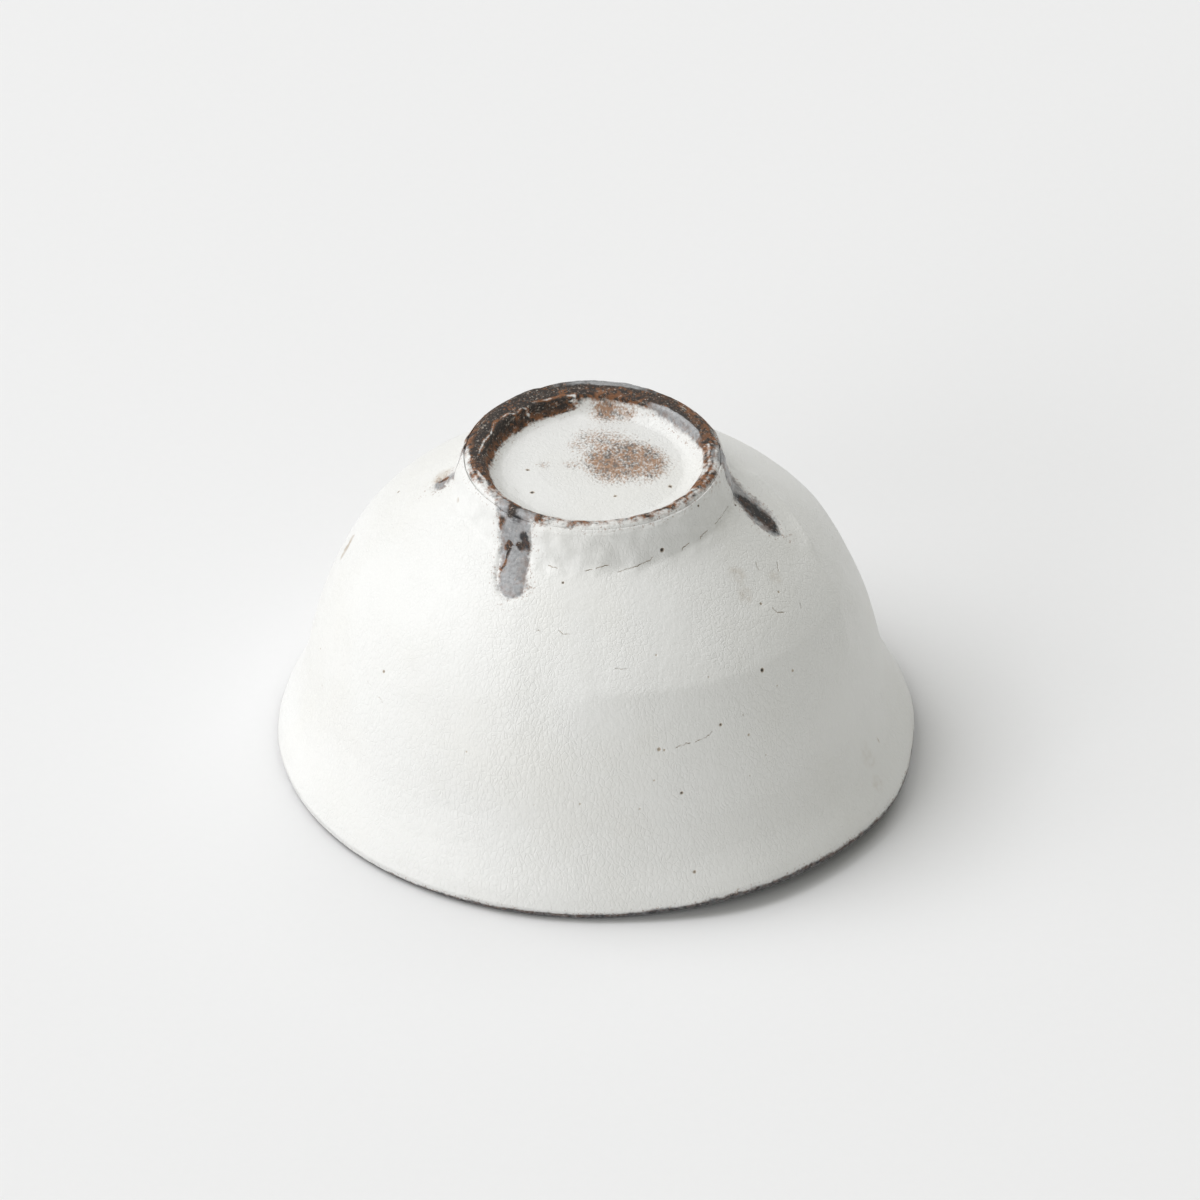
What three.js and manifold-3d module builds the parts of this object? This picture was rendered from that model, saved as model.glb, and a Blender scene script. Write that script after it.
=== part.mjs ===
// Sake cup of dark clay under white slip and clear glaze: a thrown bowl, a foot ring luted onto it,
// the coats of slip, and the glaze that lies on bare clay where fingers kept the slip off.
// It stands on its rim, mouth down, with the foot on top. Millimetres, +Z up.
// The origin is the centre of the mouth, on the surface that the rim stands on.
import * as THREE from "three";
import { mergeVertices } from "three/addons/utils/BufferGeometryUtils.js";
import Module from "manifold-3d";

// Bowl: the radius and place of each point that its clay outside passes through.
// Heights are above the rim's plane, drops are below the crown, the highest point of the bowl.
const CROWN_HEIGHT = 43.5;
const WELL_RADIUS = 12.9;
const WELL_EDGE_DROP = 0.7;
const ROOT_RADIUS = 18.3;
const ROOT_DROP = 3.2;
const SHOULDER_RADIUS = 25;
const SHOULDER_DROP = 7.7;
const RIDGE_RADIUS = 31.6;
const RIDGE_DROP = 13.9;
const BELLY_RADIUS = 36.1;
const BELLY_HEIGHT = 20.5;
const WAIST_RADIUS = 39.3;
const WAIST_HEIGHT = 9;
const RIM_RADIUS = 42.7;

// Bowl: clay thickness at the rim, across the sides and at the middle of the floor
const RIM_WALL = 3;
const SIDE_WALL = 3.3;
const FLOOR_WALL = 4.8;
const LIP_ROUND = 1.1;

// Foot ring: its lip stands above the crown, and its bore is turned off centre towards the front
const FOOT_STAND = 2.5;
const FOOT_RADIUS = 17;
const FOOT_WAIST_RADIUS = 17.5;
const BORE_RADIUS = 14.4;
const FOOT_ROUND = 0.7;
const BORE_SHIFT_X = 0.3;
const BORE_SHIFT_Y = -0.9;

// Coats of slip with their glaze, and the thinner glaze in the finger marks
const COAT = 0.45;
const WELL_COAT = 0.35;
const COAT_EDGE = 0.15;
const MARK_GLAZE = 0.3;
const FOOT_COAT_MARGIN = 0.4;

// Clearances: the bond between a coat and its clay, and the gaps round the well's coat and round the
// glaze of a finger mark
const BOND = 0.05;
const WELL_GAP = 0.3;
const MARK_GAP = 0.3;

// The cup leans to one side by this much at its foot
const LEAN = -0.5;

// Finger marks: azimuth in degrees from +X, then stations down the mark, each with its drift along
// the tangent, its half width and its rise above the root of the foot. The tip has no width, and the
// mark starts at the lip of the foot with the first drift and half width.
const FINGER_MARKS = [
  {
    name: "finger_mark_front",
    azimuth: -122,
    stations: [[-1.2, 2.5], [-0.4, 1.8, 1], [0.1, 2.3, -1], [1, 2, -2]],
    tip: [2.1, -3.1],
  },
  {
    name: "finger_mark_right",
    azimuth: -5,
    stations: [[1.7, 2], [1.2, 1.6, 0.5], [-1.2, 1.4, -1.6], [-2, 1.2, -3]],
    tip: [-2.6, -4.1],
  },
  {
    name: "finger_mark_left",
    azimuth: 176,
    stations: [[1.8, 1.6], [0.4, 1.5, 0.5], [-1.9, 1.6, -0.9], [-3.2, 1.3, -1.6]],
    tip: [-4.6, -2.3],
  },
  {
    name: "finger_mark_back",
    azimuth: 65,
    stations: [[0.6, 4.6], [0.3, 3.9, 0.6], [0, 3.7, -1.4], [-0.5, 2.9, -2.8]],
    tip: [-0.9, -4],
  },
];

// Facets: round the axis, and between two neighbouring points of a profile
const SEGMENTS = 48;
const STEPS = 2;
const ROUND_STEPS = 3;

const wasm = await Module();
wasm.setup();

// Worked out from the driving dimensions
const FOOT_HEIGHT = CROWN_HEIGHT + FOOT_STAND;
const ROOT_HEIGHT = CROWN_HEIGHT - ROOT_DROP;
const FOOT_ARRIS_HEIGHT = FOOT_HEIGHT - FOOT_ROUND;

// Knots of the bowl's profiles, in order from the axis to the rim
const CROWN = 0;
const WELL_EDGE = 1;
const ROOT = 2;
const RIDGE = 4;
const RIM = 7;

/** A smooth profile through knots. A mirrored knot before the first keeps the profile level at the axis. */
class Profile {
  constructor(knots) {
    const [, second] = knots;
    const points = [new THREE.Vector2(-second.x, second.y), ...knots];
    this.curve = new THREE.CatmullRomCurve3(
      points.map((point) => new THREE.Vector3(point.x, point.y, 0)), false, "centripetal",
    );
    this.spans = points.length - 1;
  }

  /** The point at a knot number, moved square to the profile: up and outwards for a distance above 0. */
  at(knot, distance = 0) {
    const along = (knot + 1) / this.spans;
    const point = this.curve.getPoint(along);
    const tangent = this.curve.getTangent(along);
    const radius = knot === CROWN ? 0 : point.x - tangent.y * distance;
    return new THREE.Vector2(radius, point.y + tangent.x * distance);
  }

  /** Points from one knot to another at a distance from the profile. */
  run(from, to, distance = 0) {
    const count = Math.ceil(Math.abs(to - from)) * STEPS;
    return Array.from({ length: count + 1 }, (_, i) => this.at(from + ((to - from) * i) / count, distance));
  }
}

/** Points of a quarter round about a centre, from one angle in quarter turns to the next. */
function quarter(x, y, radius, fromQuarter, turn) {
  return Array.from({ length: ROUND_STEPS + 1 }, (_, i) => {
    const angle = (fromQuarter + (turn * i) / ROUND_STEPS) * (Math.PI / 2);
    return new THREE.Vector2(x + radius * Math.cos(angle), y + radius * Math.sin(angle));
  });
}

const outside = new Profile([
  new THREE.Vector2(0, CROWN_HEIGHT),
  new THREE.Vector2(WELL_RADIUS, CROWN_HEIGHT - WELL_EDGE_DROP),
  new THREE.Vector2(ROOT_RADIUS, ROOT_HEIGHT),
  new THREE.Vector2(SHOULDER_RADIUS, CROWN_HEIGHT - SHOULDER_DROP),
  new THREE.Vector2(RIDGE_RADIUS, CROWN_HEIGHT - RIDGE_DROP),
  new THREE.Vector2(BELLY_RADIUS, BELLY_HEIGHT),
  new THREE.Vector2(WAIST_RADIUS, WAIST_HEIGHT),
  new THREE.Vector2(RIM_RADIUS, LIP_ROUND),
]);

// The inside follows the outside, with clay that thins from the floor to the sides
const inside = new Profile([
  ...Array.from({ length: RIM }, (_, knot) =>
    outside.at(knot, -THREE.MathUtils.lerp(FLOOR_WALL, SIDE_WALL, knot / (RIM - 1)))),
  new THREE.Vector2(RIM_RADIUS - RIM_WALL, LIP_ROUND),
]);

// The foot's outer wall, from its root to the arris of its lip
const footWall = new THREE.QuadraticBezierCurve(
  new THREE.Vector2(ROOT_RADIUS, ROOT_HEIGHT),
  new THREE.Vector2(FOOT_WAIST_RADIUS, (ROOT_HEIGHT + FOOT_ARRIS_HEIGHT) / 2),
  new THREE.Vector2(FOOT_RADIUS, FOOT_ARRIS_HEIGHT),
);

/** Points up the foot's outer wall between two heights, moved outwards by a distance. */
function footRun(fromHeight, toHeight, distance = 0) {
  const rise = FOOT_ARRIS_HEIGHT - ROOT_HEIGHT;
  return Array.from({ length: STEPS + 1 }, (_, i) => {
    const height = THREE.MathUtils.lerp(fromHeight, toHeight, i / STEPS);
    const point = footWall.getPoint((height - ROOT_HEIGHT) / rise);
    return new THREE.Vector2(point.x + distance, height);
  });
}

/** Leans a geometry to one side, the more the higher it is. */
function lean(geometry) {
  const shear = new THREE.Matrix4().makeShear(0, 0, 0, 0, LEAN / FOOT_HEIGHT, 0);
  return geometry.applyMatrix4(shear);
}

/** Turns an outline on the wheel: points of radius and height, on the axis at both ends or closed. */
function turned(outline) {
  const facingOut = THREE.ShapeUtils.isClockWise(outline) ? outline.toReversed() : outline;
  return new THREE.LatheGeometry(facingOut, SEGMENTS).rotateX(Math.PI / 2);
}

/** A solid for cutting and joining, from a closed geometry. */
function solidOf(geometry) {
  const bare = geometry.clone();
  bare.deleteAttribute("normal");
  bare.deleteAttribute("uv");
  const welded = mergeVertices(bare);
  return new wasm.Manifold(new wasm.Mesh({
    numProp: 3,
    vertProperties: welded.attributes.position.array,
    triVerts: Uint32Array.from(welded.index.array),
  }));
}

/** A geometry from a solid. */
function geometryOf(solid) {
  const mesh = solid.getMesh();
  const geometry = new THREE.BufferGeometry();
  geometry.setAttribute("position", new THREE.BufferAttribute(mesh.vertProperties, mesh.numProp));
  geometry.setIndex(new THREE.BufferAttribute(mesh.triVerts, 1));
  geometry.computeVertexNormals();
  return geometry;
}

/** The thrown bowl: dome, wall, rounded lip with a flat land, and the inside. */
function bowlGeometry() {
  const lipCentre = RIM_RADIUS - LIP_ROUND;
  const mouthCentre = RIM_RADIUS - RIM_WALL + LIP_ROUND;
  return turned([
    ...outside.run(CROWN, RIM),
    ...quarter(lipCentre, LIP_ROUND, LIP_ROUND, 0, -1).slice(1),
    ...quarter(mouthCentre, LIP_ROUND, LIP_ROUND, -1, -1),
    ...inside.run(RIM, CROWN).slice(1),
  ]);
}

/** The foot ring: it sits on the dome of the bowl, and its bore drifts off centre towards the lip. */
function footRingGeometry() {
  const seat = outside.run(ROOT, WELL_EDGE, BOND);
  const boreFoot = seat.at(-1);
  const ring = turned([
    ...seat,
    new THREE.Vector2(BORE_RADIUS, FOOT_ARRIS_HEIGHT),
    ...quarter(BORE_RADIUS + FOOT_ROUND, FOOT_ARRIS_HEIGHT, FOOT_ROUND, 2, -1).slice(1),
    ...quarter(FOOT_RADIUS - FOOT_ROUND, FOOT_ARRIS_HEIGHT, FOOT_ROUND, 1, -1),
    ...footRun(FOOT_ARRIS_HEIGHT, seat[0].y).slice(1, -1),
    seat[0],
  ]);
  const position = ring.attributes.position;
  const middle = (BORE_RADIUS + FOOT_RADIUS) / 2;
  for (let i = 0; i < position.count; i++) {
    if (Math.hypot(position.getX(i), position.getY(i)) < middle && position.getZ(i) > boreFoot.y) {
      const share = (position.getZ(i) - boreFoot.y) / (FOOT_HEIGHT - boreFoot.y);
      position.setX(i, position.getX(i) + BORE_SHIFT_X * share);
      position.setY(i, position.getY(i) + BORE_SHIFT_Y * share);
    }
  }
  return ring;
}

/** The closed outline of a coat between its clay side and its glaze side. */
function shell(claySide, glazeSide) {
  return [...claySide, ...glazeSide.reverse(), claySide[0]];
}

/** A layer over the bowl's outside, from the root of the foot to a knot, thinned to an edge there. */
function bowlLayerGeometry(thickness, lastKnot) {
  const glazeSide = outside.run(ROOT, lastKnot, thickness);
  glazeSide[glazeSide.length - 1] = outside.at(lastKnot, COAT_EDGE);
  return turned(shell(outside.run(ROOT, lastKnot, BOND), glazeSide));
}

/** A layer over the foot's outer wall, from its root to just under its lip, thinned to an edge there. */
function footLayerGeometry(thickness) {
  const toHeight = FOOT_ARRIS_HEIGHT - FOOT_COAT_MARGIN;
  const claySide = footRun(ROOT_HEIGHT, toHeight, BOND);
  const glazeSide = footRun(ROOT_HEIGHT, toHeight, thickness);
  glazeSide[glazeSide.length - 1].x += COAT_EDGE - thickness;
  return turned(shell(claySide, glazeSide));
}

/** The layer that one dip leaves on the foot's wall and, past its root, on the bowl as far as a knot. */
function dipped(thickness, lastKnot) {
  return solidOf(bowlLayerGeometry(thickness, lastKnot)).add(solidOf(footLayerGeometry(thickness)));
}

/** The coat inside the bowl, closed over the middle of the floor and thinned to an edge at the lip. */
function innerCoatGeometry() {
  const glazeSide = inside.run(CROWN, RIM, -COAT);
  glazeSide[glazeSide.length - 1] = inside.at(RIM, -COAT_EDGE);
  return turned([...inside.run(CROWN, RIM, -BOND), ...glazeSide.reverse()]);
}

/** The coat on the floor of the well, which ends short of the foot's bore. */
function wellCoatGeometry() {
  const lastKnot = WELL_EDGE * (1 - WELL_GAP / WELL_RADIUS);
  const glazeSide = outside.run(CROWN, lastKnot, WELL_COAT);
  glazeSide[glazeSide.length - 1] = outside.at(lastKnot, COAT_EDGE);
  return turned([...glazeSide, ...outside.run(CROWN, lastKnot, BOND).reverse()]);
}

/** The space that a finger covers: its outline, widened or narrowed, drawn out from the axis. */
function fingerSpace({ azimuth, stations, tip }, widen) {
  const rises = stations.map(([, , rise]) => rise ?? FOOT_HEIGHT - ROOT_HEIGHT);
  const side = (sign) => stations.map(([drift, half], i) =>
    new THREE.Vector2(drift + sign * (half + widen), ROOT_HEIGHT + rises[i]));
  const right = side(1);
  const outline = new THREE.Shape();
  outline.moveTo(right[0].x, right[0].y);
  outline.splineThru([
    ...right.slice(1),
    new THREE.Vector2(tip[0], ROOT_HEIGHT + tip[1] - widen),
    ...side(-1).reverse(),
  ]);
  outline.closePath();
  const space = new THREE.ExtrudeGeometry(outline, {
    depth: RIDGE_RADIUS, bevelEnabled: false, curveSegments: ROUND_STEPS,
  });
  return space.rotateX(Math.PI / 2).rotateZ(THREE.MathUtils.degToRad(azimuth + 90));
}

// Clay, coats and glaze
const clay = new THREE.MeshStandardMaterial({ color: 0x4a3a30, roughness: 0.85, metalness: 0 });
const slip = new THREE.MeshStandardMaterial({ color: 0xe9e8e2, roughness: 0.35, metalness: 0 });
const bareGlaze = new THREE.MeshStandardMaterial({ color: 0x70757c, roughness: 0.3, metalness: 0 });

const cup = new THREE.Group();
cup.name = "sake_cup";

/** Adds one piece, leant like the whole cup, with its own copy of a material. */
function addPiece(name, geometry, material) {
  const piece = new THREE.Mesh(lean(geometry), material.clone());
  piece.name = name;
  cup.add(piece);
}

addPiece("bowl", bowlGeometry(), clay);
addPiece("foot_ring", footRingGeometry(), clay);
addPiece("inner_slip_coat", innerCoatGeometry(), slip);
addPiece("well_slip_coat", wellCoatGeometry(), slip);

// The outer coat is open where the fingers were, and glaze lies in the openings
let outerCoat = dipped(COAT, RIM);
const glazeLayer = dipped(MARK_GLAZE, RIDGE);
for (const mark of FINGER_MARKS) {
  outerCoat = outerCoat.subtract(solidOf(fingerSpace(mark, MARK_GAP)));
  addPiece(mark.name, geometryOf(glazeLayer.intersect(solidOf(fingerSpace(mark, 0)))), bareGlaze);
}
addPiece("outer_slip_coat", geometryOf(outerCoat), slip);

export default cup;
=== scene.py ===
"""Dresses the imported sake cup: dark iron clay under white slip and one clear glaze, mouth down on its rim.

Sizes are in millimetres where a name doesn't say otherwise, and meshes are written in metres, in the frame
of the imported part. Azimuths are in degrees from +X towards +Y, so the photograph looks from azimuth -90.
Heights are above the surface that the rim stands on.
"""

import logging
import math
from dataclasses import dataclass, field
from enum import Enum
from typing import Callable, Union

import bmesh
import bpy
import numpy as np
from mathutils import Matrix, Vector, noise
from mathutils.bvhtree import BVHTree


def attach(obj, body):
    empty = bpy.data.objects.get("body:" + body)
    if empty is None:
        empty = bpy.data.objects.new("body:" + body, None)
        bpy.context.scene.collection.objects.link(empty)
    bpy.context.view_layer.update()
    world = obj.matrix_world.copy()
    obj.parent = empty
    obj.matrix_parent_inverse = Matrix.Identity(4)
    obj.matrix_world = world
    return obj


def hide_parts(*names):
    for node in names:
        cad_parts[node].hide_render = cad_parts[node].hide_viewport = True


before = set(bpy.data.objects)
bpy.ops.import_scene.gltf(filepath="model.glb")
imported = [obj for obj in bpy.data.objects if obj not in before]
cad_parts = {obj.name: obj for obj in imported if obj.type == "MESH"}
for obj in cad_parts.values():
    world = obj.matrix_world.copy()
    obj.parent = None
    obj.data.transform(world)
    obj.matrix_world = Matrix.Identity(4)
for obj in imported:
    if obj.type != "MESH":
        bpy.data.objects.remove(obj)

log = logging.getLogger("sake_cup")

MM = 0.001
SKIN = "skin_share"
HAND_WOBBLE = 0.001
FLAT_STAIN = 0.035
CRACK_REACH = 0.075
CRACK_DEPTH = 0.12
CHART_RANGE = (-3.0, 6.0)

Colour = tuple[float, float, float]
Operand = Union["Wire", float]
Many = Union[float, np.ndarray]
Stations = tuple[tuple[float, float], ...]
Spots = tuple[tuple[float, float, float], ...]


class Slot(Enum):
    """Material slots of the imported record."""

    SLIP = "white_slip"
    CLAY = "clay"
    GLAZE = "grey_glaze"


class Chart(Enum):
    """Values that each point of a piece carries for its material."""

    SLIP = "slip_edge"
    IRON = "iron_share"
    DARK = "dark_share"
    STAIN = "stain_share"
    PIT = "pit_share"


def both_sides(operation: str) -> tuple[Callable, Callable]:
    """The two methods of one operator: with the wire on its left, and with the wire on its right."""

    def left(self: "Wire", other: Operand) -> "Wire":
        """The result, with this wire first."""
        return self.bench.math(operation, self, other)

    def right(self: "Wire", other: Operand) -> "Wire":
        """The result, with this wire second."""
        return self.bench.math(operation, other, self)

    return left, right


class Wire:
    """An output socket of a node tree. Arithmetic on it adds Math nodes."""

    def __init__(self, bench: "Bench", socket: bpy.types.NodeSocket) -> None:
        """Keeps the bench that the socket's tree is on."""
        self.bench = bench
        self.socket = socket

    __add__, __radd__ = both_sides("ADD")
    __sub__, __rsub__ = both_sides("SUBTRACT")
    __mul__, __rmul__ = both_sides("MULTIPLY")
    __truediv__, __rtruediv__ = both_sides("DIVIDE")

    def other(self, output: Union[int, str]) -> "Wire":
        """Another output of the same node."""
        return Wire(self.bench, self.socket.node.outputs[output])

    def __neg__(self) -> "Wire":
        """The value with its sign turned."""
        return self.bench.math("MULTIPLY", self, -1.0)

    def at_least(self, other: Operand) -> "Wire":
        """The larger of the two."""
        return self.bench.math("MAXIMUM", self, other)

    def ramp(self, low: float, high: float) -> "Wire":
        """A smooth step: 0 at low, 1 at high, held beyond them. Low may be above high."""
        return self.bench.node(
            "ShaderNodeMapRange",
            {"interpolation_type": "SMOOTHSTEP"},
            {"Value": self, "From Min": low, "From Max": high, "To Min": 0.0, "To Max": 1.0},
        )


class Bench:
    """A node tree that is being wired."""

    def __init__(self, tree: bpy.types.NodeTree) -> None:
        """Takes an empty tree."""
        self.tree = tree

    def node(
        self,
        kind: str,
        settings: dict[str, object] | None = None,
        inputs: dict[Union[int, str], object] | None = None,
        output: Union[int, str] = 0,
    ) -> Wire:
        """Adds a node.

        Args:
            kind: the node's type.
            settings: its properties, set before its sockets.
            inputs: values or wires by the socket's name or number.
            output: the name or number of the output to return.

        Returns:
            The wire of that output.
        """
        node = self.tree.nodes.new(kind)
        for name, value in (settings or {}).items():
            setattr(node, name, value)
        for key, value in (inputs or {}).items():
            self.feed(node.inputs[key], value)
        return Wire(self, node.outputs[output]) if node.outputs else Wire(self, None)

    def feed(self, socket: bpy.types.NodeSocket, value: object) -> None:
        """Links a wire to a socket, or sets the socket's own value."""
        if isinstance(value, Wire):
            self.tree.links.new(value.socket, socket)
        elif isinstance(value, tuple) and len(value) == 3 and socket.type == "RGBA":
            socket.default_value = (*value, 1.0)
        else:
            socket.default_value = value

    def math(self, operation: str, first: Operand, second: Operand = 0.0) -> Wire:
        """Adds a Math node on two values."""
        return self.node("ShaderNodeMath", {"operation": operation}, {0: first, 1: second})

    def mix(self, share: Operand, first: Union[Wire, Colour], second: Union[Wire, Colour]) -> Wire:
        """Mixes two colours: the first at share 0, the second at share 1."""
        return self.node(
            "ShaderNodeMix", {"data_type": "RGBA"}, {"Factor": share, 6: first, 7: second}, output=2
        )

    def vector(self, operation: str, first: object, second: object = None, scale: Operand = 1.0) -> Wire:
        """Adds a Vector Math node on one or two vectors, or on a vector and a scale."""
        inputs = {0: first, "Scale": scale} if operation == "SCALE" else {0: first}
        if second is not None:
            inputs[1] = second
        return self.node("ShaderNodeVectorMath", {"operation": operation}, inputs)

    def place_in_mm(self) -> Wire:
        """Object coordinates in millimetres."""
        return self.vector("SCALE", self.node("ShaderNodeTexCoord", output="Object"), scale=1.0 / MM)

    def noise(self, place: Wire, per_mm: float, detail: float = 2.0, seed: Operand = 0.0) -> Wire:
        """Noise with a mean of 0.5, on a place in millimetres, moved by its seed."""
        return self.node(
            "ShaderNodeTexNoise",
            {"noise_dimensions": "4D"},
            {"Vector": place, "W": seed, "Scale": per_mm, "Detail": detail, "Roughness": 0.55},
        )

    def surface(self, inputs: dict[str, object]) -> None:
        """Ends a material's tree with one Principled surface."""
        shader = self.node("ShaderNodeBsdfPrincipled", inputs=inputs)
        self.node("ShaderNodeOutputMaterial", inputs={"Surface": shader})

    def named(self, name: str) -> Wire:
        """What each point of a mesh carries under a name."""
        return self.node("GeometryNodeInputNamedAttribute", {"data_type": "FLOAT"}, {0: name})

    def sampled(self, geometry: Wire, value: Wire, index: Wire, kind: str = "FLOAT") -> Wire:
        """A value at one point of a geometry, by the point's number."""
        return self.node(
            "GeometryNodeSampleIndex",
            {"data_type": kind, "domain": "POINT"},
            {"Geometry": geometry, "Value": value, "Index": index},
        )

    def stored(self, geometry: Wire, name: str, value: Wire) -> Wire:
        """A geometry whose points carry a value under a name."""
        return self.node(
            "GeometryNodeStoreNamedAttribute",
            {"data_type": "FLOAT", "domain": "POINT"},
            {"Geometry": geometry, "Name": name, "Value": value},
        )

    def moved(self, geometry: Wire, **places: Wire) -> Wire:
        """A geometry with its points at a Position, or moved by an Offset."""
        return self.node("GeometryNodeSetPosition", inputs={"Geometry": geometry, **places})


def new_material(name: str) -> tuple[bpy.types.Material, Bench]:
    """An empty material, and the bench to wire it on."""
    material = bpy.data.materials.new(name)
    material.use_nodes = True
    material.node_tree.nodes.clear()
    return material, Bench(material.node_tree)


def carry(mesh: bpy.types.Mesh, name: str, values: Many) -> None:
    """Gives each point of a mesh one value under a name."""
    layer = mesh.attributes.get(name) or mesh.attributes.new(name, "FLOAT", "POINT")
    layer.data.foreach_set("value", np.broadcast_to(values, len(mesh.vertices)).astype(np.float32))


def smooth_step(value: np.ndarray, low: float, high: float) -> np.ndarray:
    """A smooth step from 0 at low to 1 at high, held beyond them. Low may be above high."""
    share = np.clip((value - low) / (high - low), 0.0, 1.0)
    return share * share * (3.0 - 2.0 * share)


def turn_between(azimuth: np.ndarray, centre: float) -> np.ndarray:
    """Degrees from a centre azimuth, from -180 to 180."""
    return (azimuth - centre + 180.0) % 360.0 - 180.0


def on_plan(azimuth: Many, radius: Many) -> np.ndarray:
    """Places on plan, x and y, at azimuths and radii."""
    turn = np.radians(azimuth)
    return np.stack((radius * np.cos(turn), radius * np.sin(turn)), axis=-1)


def path_lengths(line: np.ndarray) -> np.ndarray:
    """The length along a line of points, from its first point to each one."""
    return np.concatenate(([0.0], np.cumsum(np.linalg.norm(np.diff(line, axis=0), axis=1))))


def resampled(line: np.ndarray, spacing: Union[float, Callable[[np.ndarray], np.ndarray]]) -> np.ndarray:
    """Spaces a line's points anew.

    Args:
        line: points of radius and height, close together.
        spacing: the wished distance between neighbours, or what gives it for points of the line.

    Returns:
        Points of radius and height with the same two ends.
    """
    along = path_lengths(line)
    middles = (line[1:] + line[:-1]) / 2
    gaps = spacing(middles) if callable(spacing) else spacing
    rows = np.concatenate(([0.0], np.cumsum(np.diff(along) / gaps)))
    wanted = np.linspace(0.0, rows[-1], int(math.ceil(rows[-1])) + 1)
    at = np.interp(wanted, rows, along)
    return np.column_stack([np.interp(at, along, line[:, axis]) for axis in range(2)])


def joined(*stretches: tuple[np.ndarray, float]) -> tuple[np.ndarray, np.ndarray]:
    """Joins stretches of an outline.

    Args:
        stretches: points of radius and height, with 1 where they show and 0 where another piece hides them.

    Returns:
        The outline, and the share of skin of each of its points.
    """
    outline = np.vstack([points for points, _ in stretches])
    return outline, np.concatenate([np.full(len(points), share) for points, share in stretches])


def distance_to_line(points: np.ndarray, corners: np.ndarray) -> np.ndarray:
    """Distance of points from a line of straight stretches, in as many dimensions as both have."""
    nearest = np.full(len(points), np.inf)
    for start, end in zip(corners[:-1], corners[1:]):
        run = end - start
        along = np.clip((points - start) @ run / (run @ run), 0.0, 1.0)
        nearest = np.minimum(nearest, np.linalg.norm(points - start - along[:, None] * run, axis=1))
    return nearest


def bent_line(start: np.ndarray, corner: np.ndarray, end: np.ndarray, count: int) -> np.ndarray:
    """Points of a curve from start to end that bends towards a corner."""
    t = np.linspace(0.0, 1.0, count)[:, None]
    return (1 - t) ** 2 * start + 2 * t * (1 - t) * corner + t**2 * end


@dataclass(frozen=True)
class Profile:
    """A smooth line of radius and height through knots, level where it leaves the axis."""

    knots: np.ndarray

    def points(self, at: np.ndarray, proud: Many = 0.0) -> np.ndarray:
        """Points at knot numbers.

        Args:
            at: knot numbers, with fractions for places between knots.
            proud: distance square to the line, up and outwards above 0.

        Returns:
            Points of radius and height.
        """
        mirrored = np.array([-self.knots[1, 0], self.knots[1, 1]])
        line = np.vstack((mirrored, self.knots, 2 * self.knots[-1] - self.knots[-2]))
        span = np.minimum(at.astype(int), len(self.knots) - 2)
        p0, p1, p2, p3 = (line[span + step] for step in range(4))
        gap0, gap1, gap2 = (
            np.sqrt(np.linalg.norm(b - a, axis=1))[:, None] for a, b in ((p0, p1), (p1, p2), (p2, p3))
        )
        leave = ((p1 - p0) / gap0 - (p2 - p0) / (gap0 + gap1) + (p2 - p1) / gap1) * gap1
        arrive = ((p2 - p1) / gap1 - (p3 - p1) / (gap1 + gap2) + (p3 - p2) / gap2) * gap1
        cubic, square = 2 * (p1 - p2) + leave + arrive, 3 * (p2 - p1) - 2 * leave - arrive
        t = (at - span)[:, None]
        place = ((cubic * t + square) * t + leave) * t + p1
        along = (3 * cubic * t + 2 * square) * t + leave
        along /= np.linalg.norm(along, axis=1)[:, None]
        normal = np.column_stack((-along[:, 1], along[:, 0]))
        return place + normal * np.reshape(proud, (-1, 1))


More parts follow.
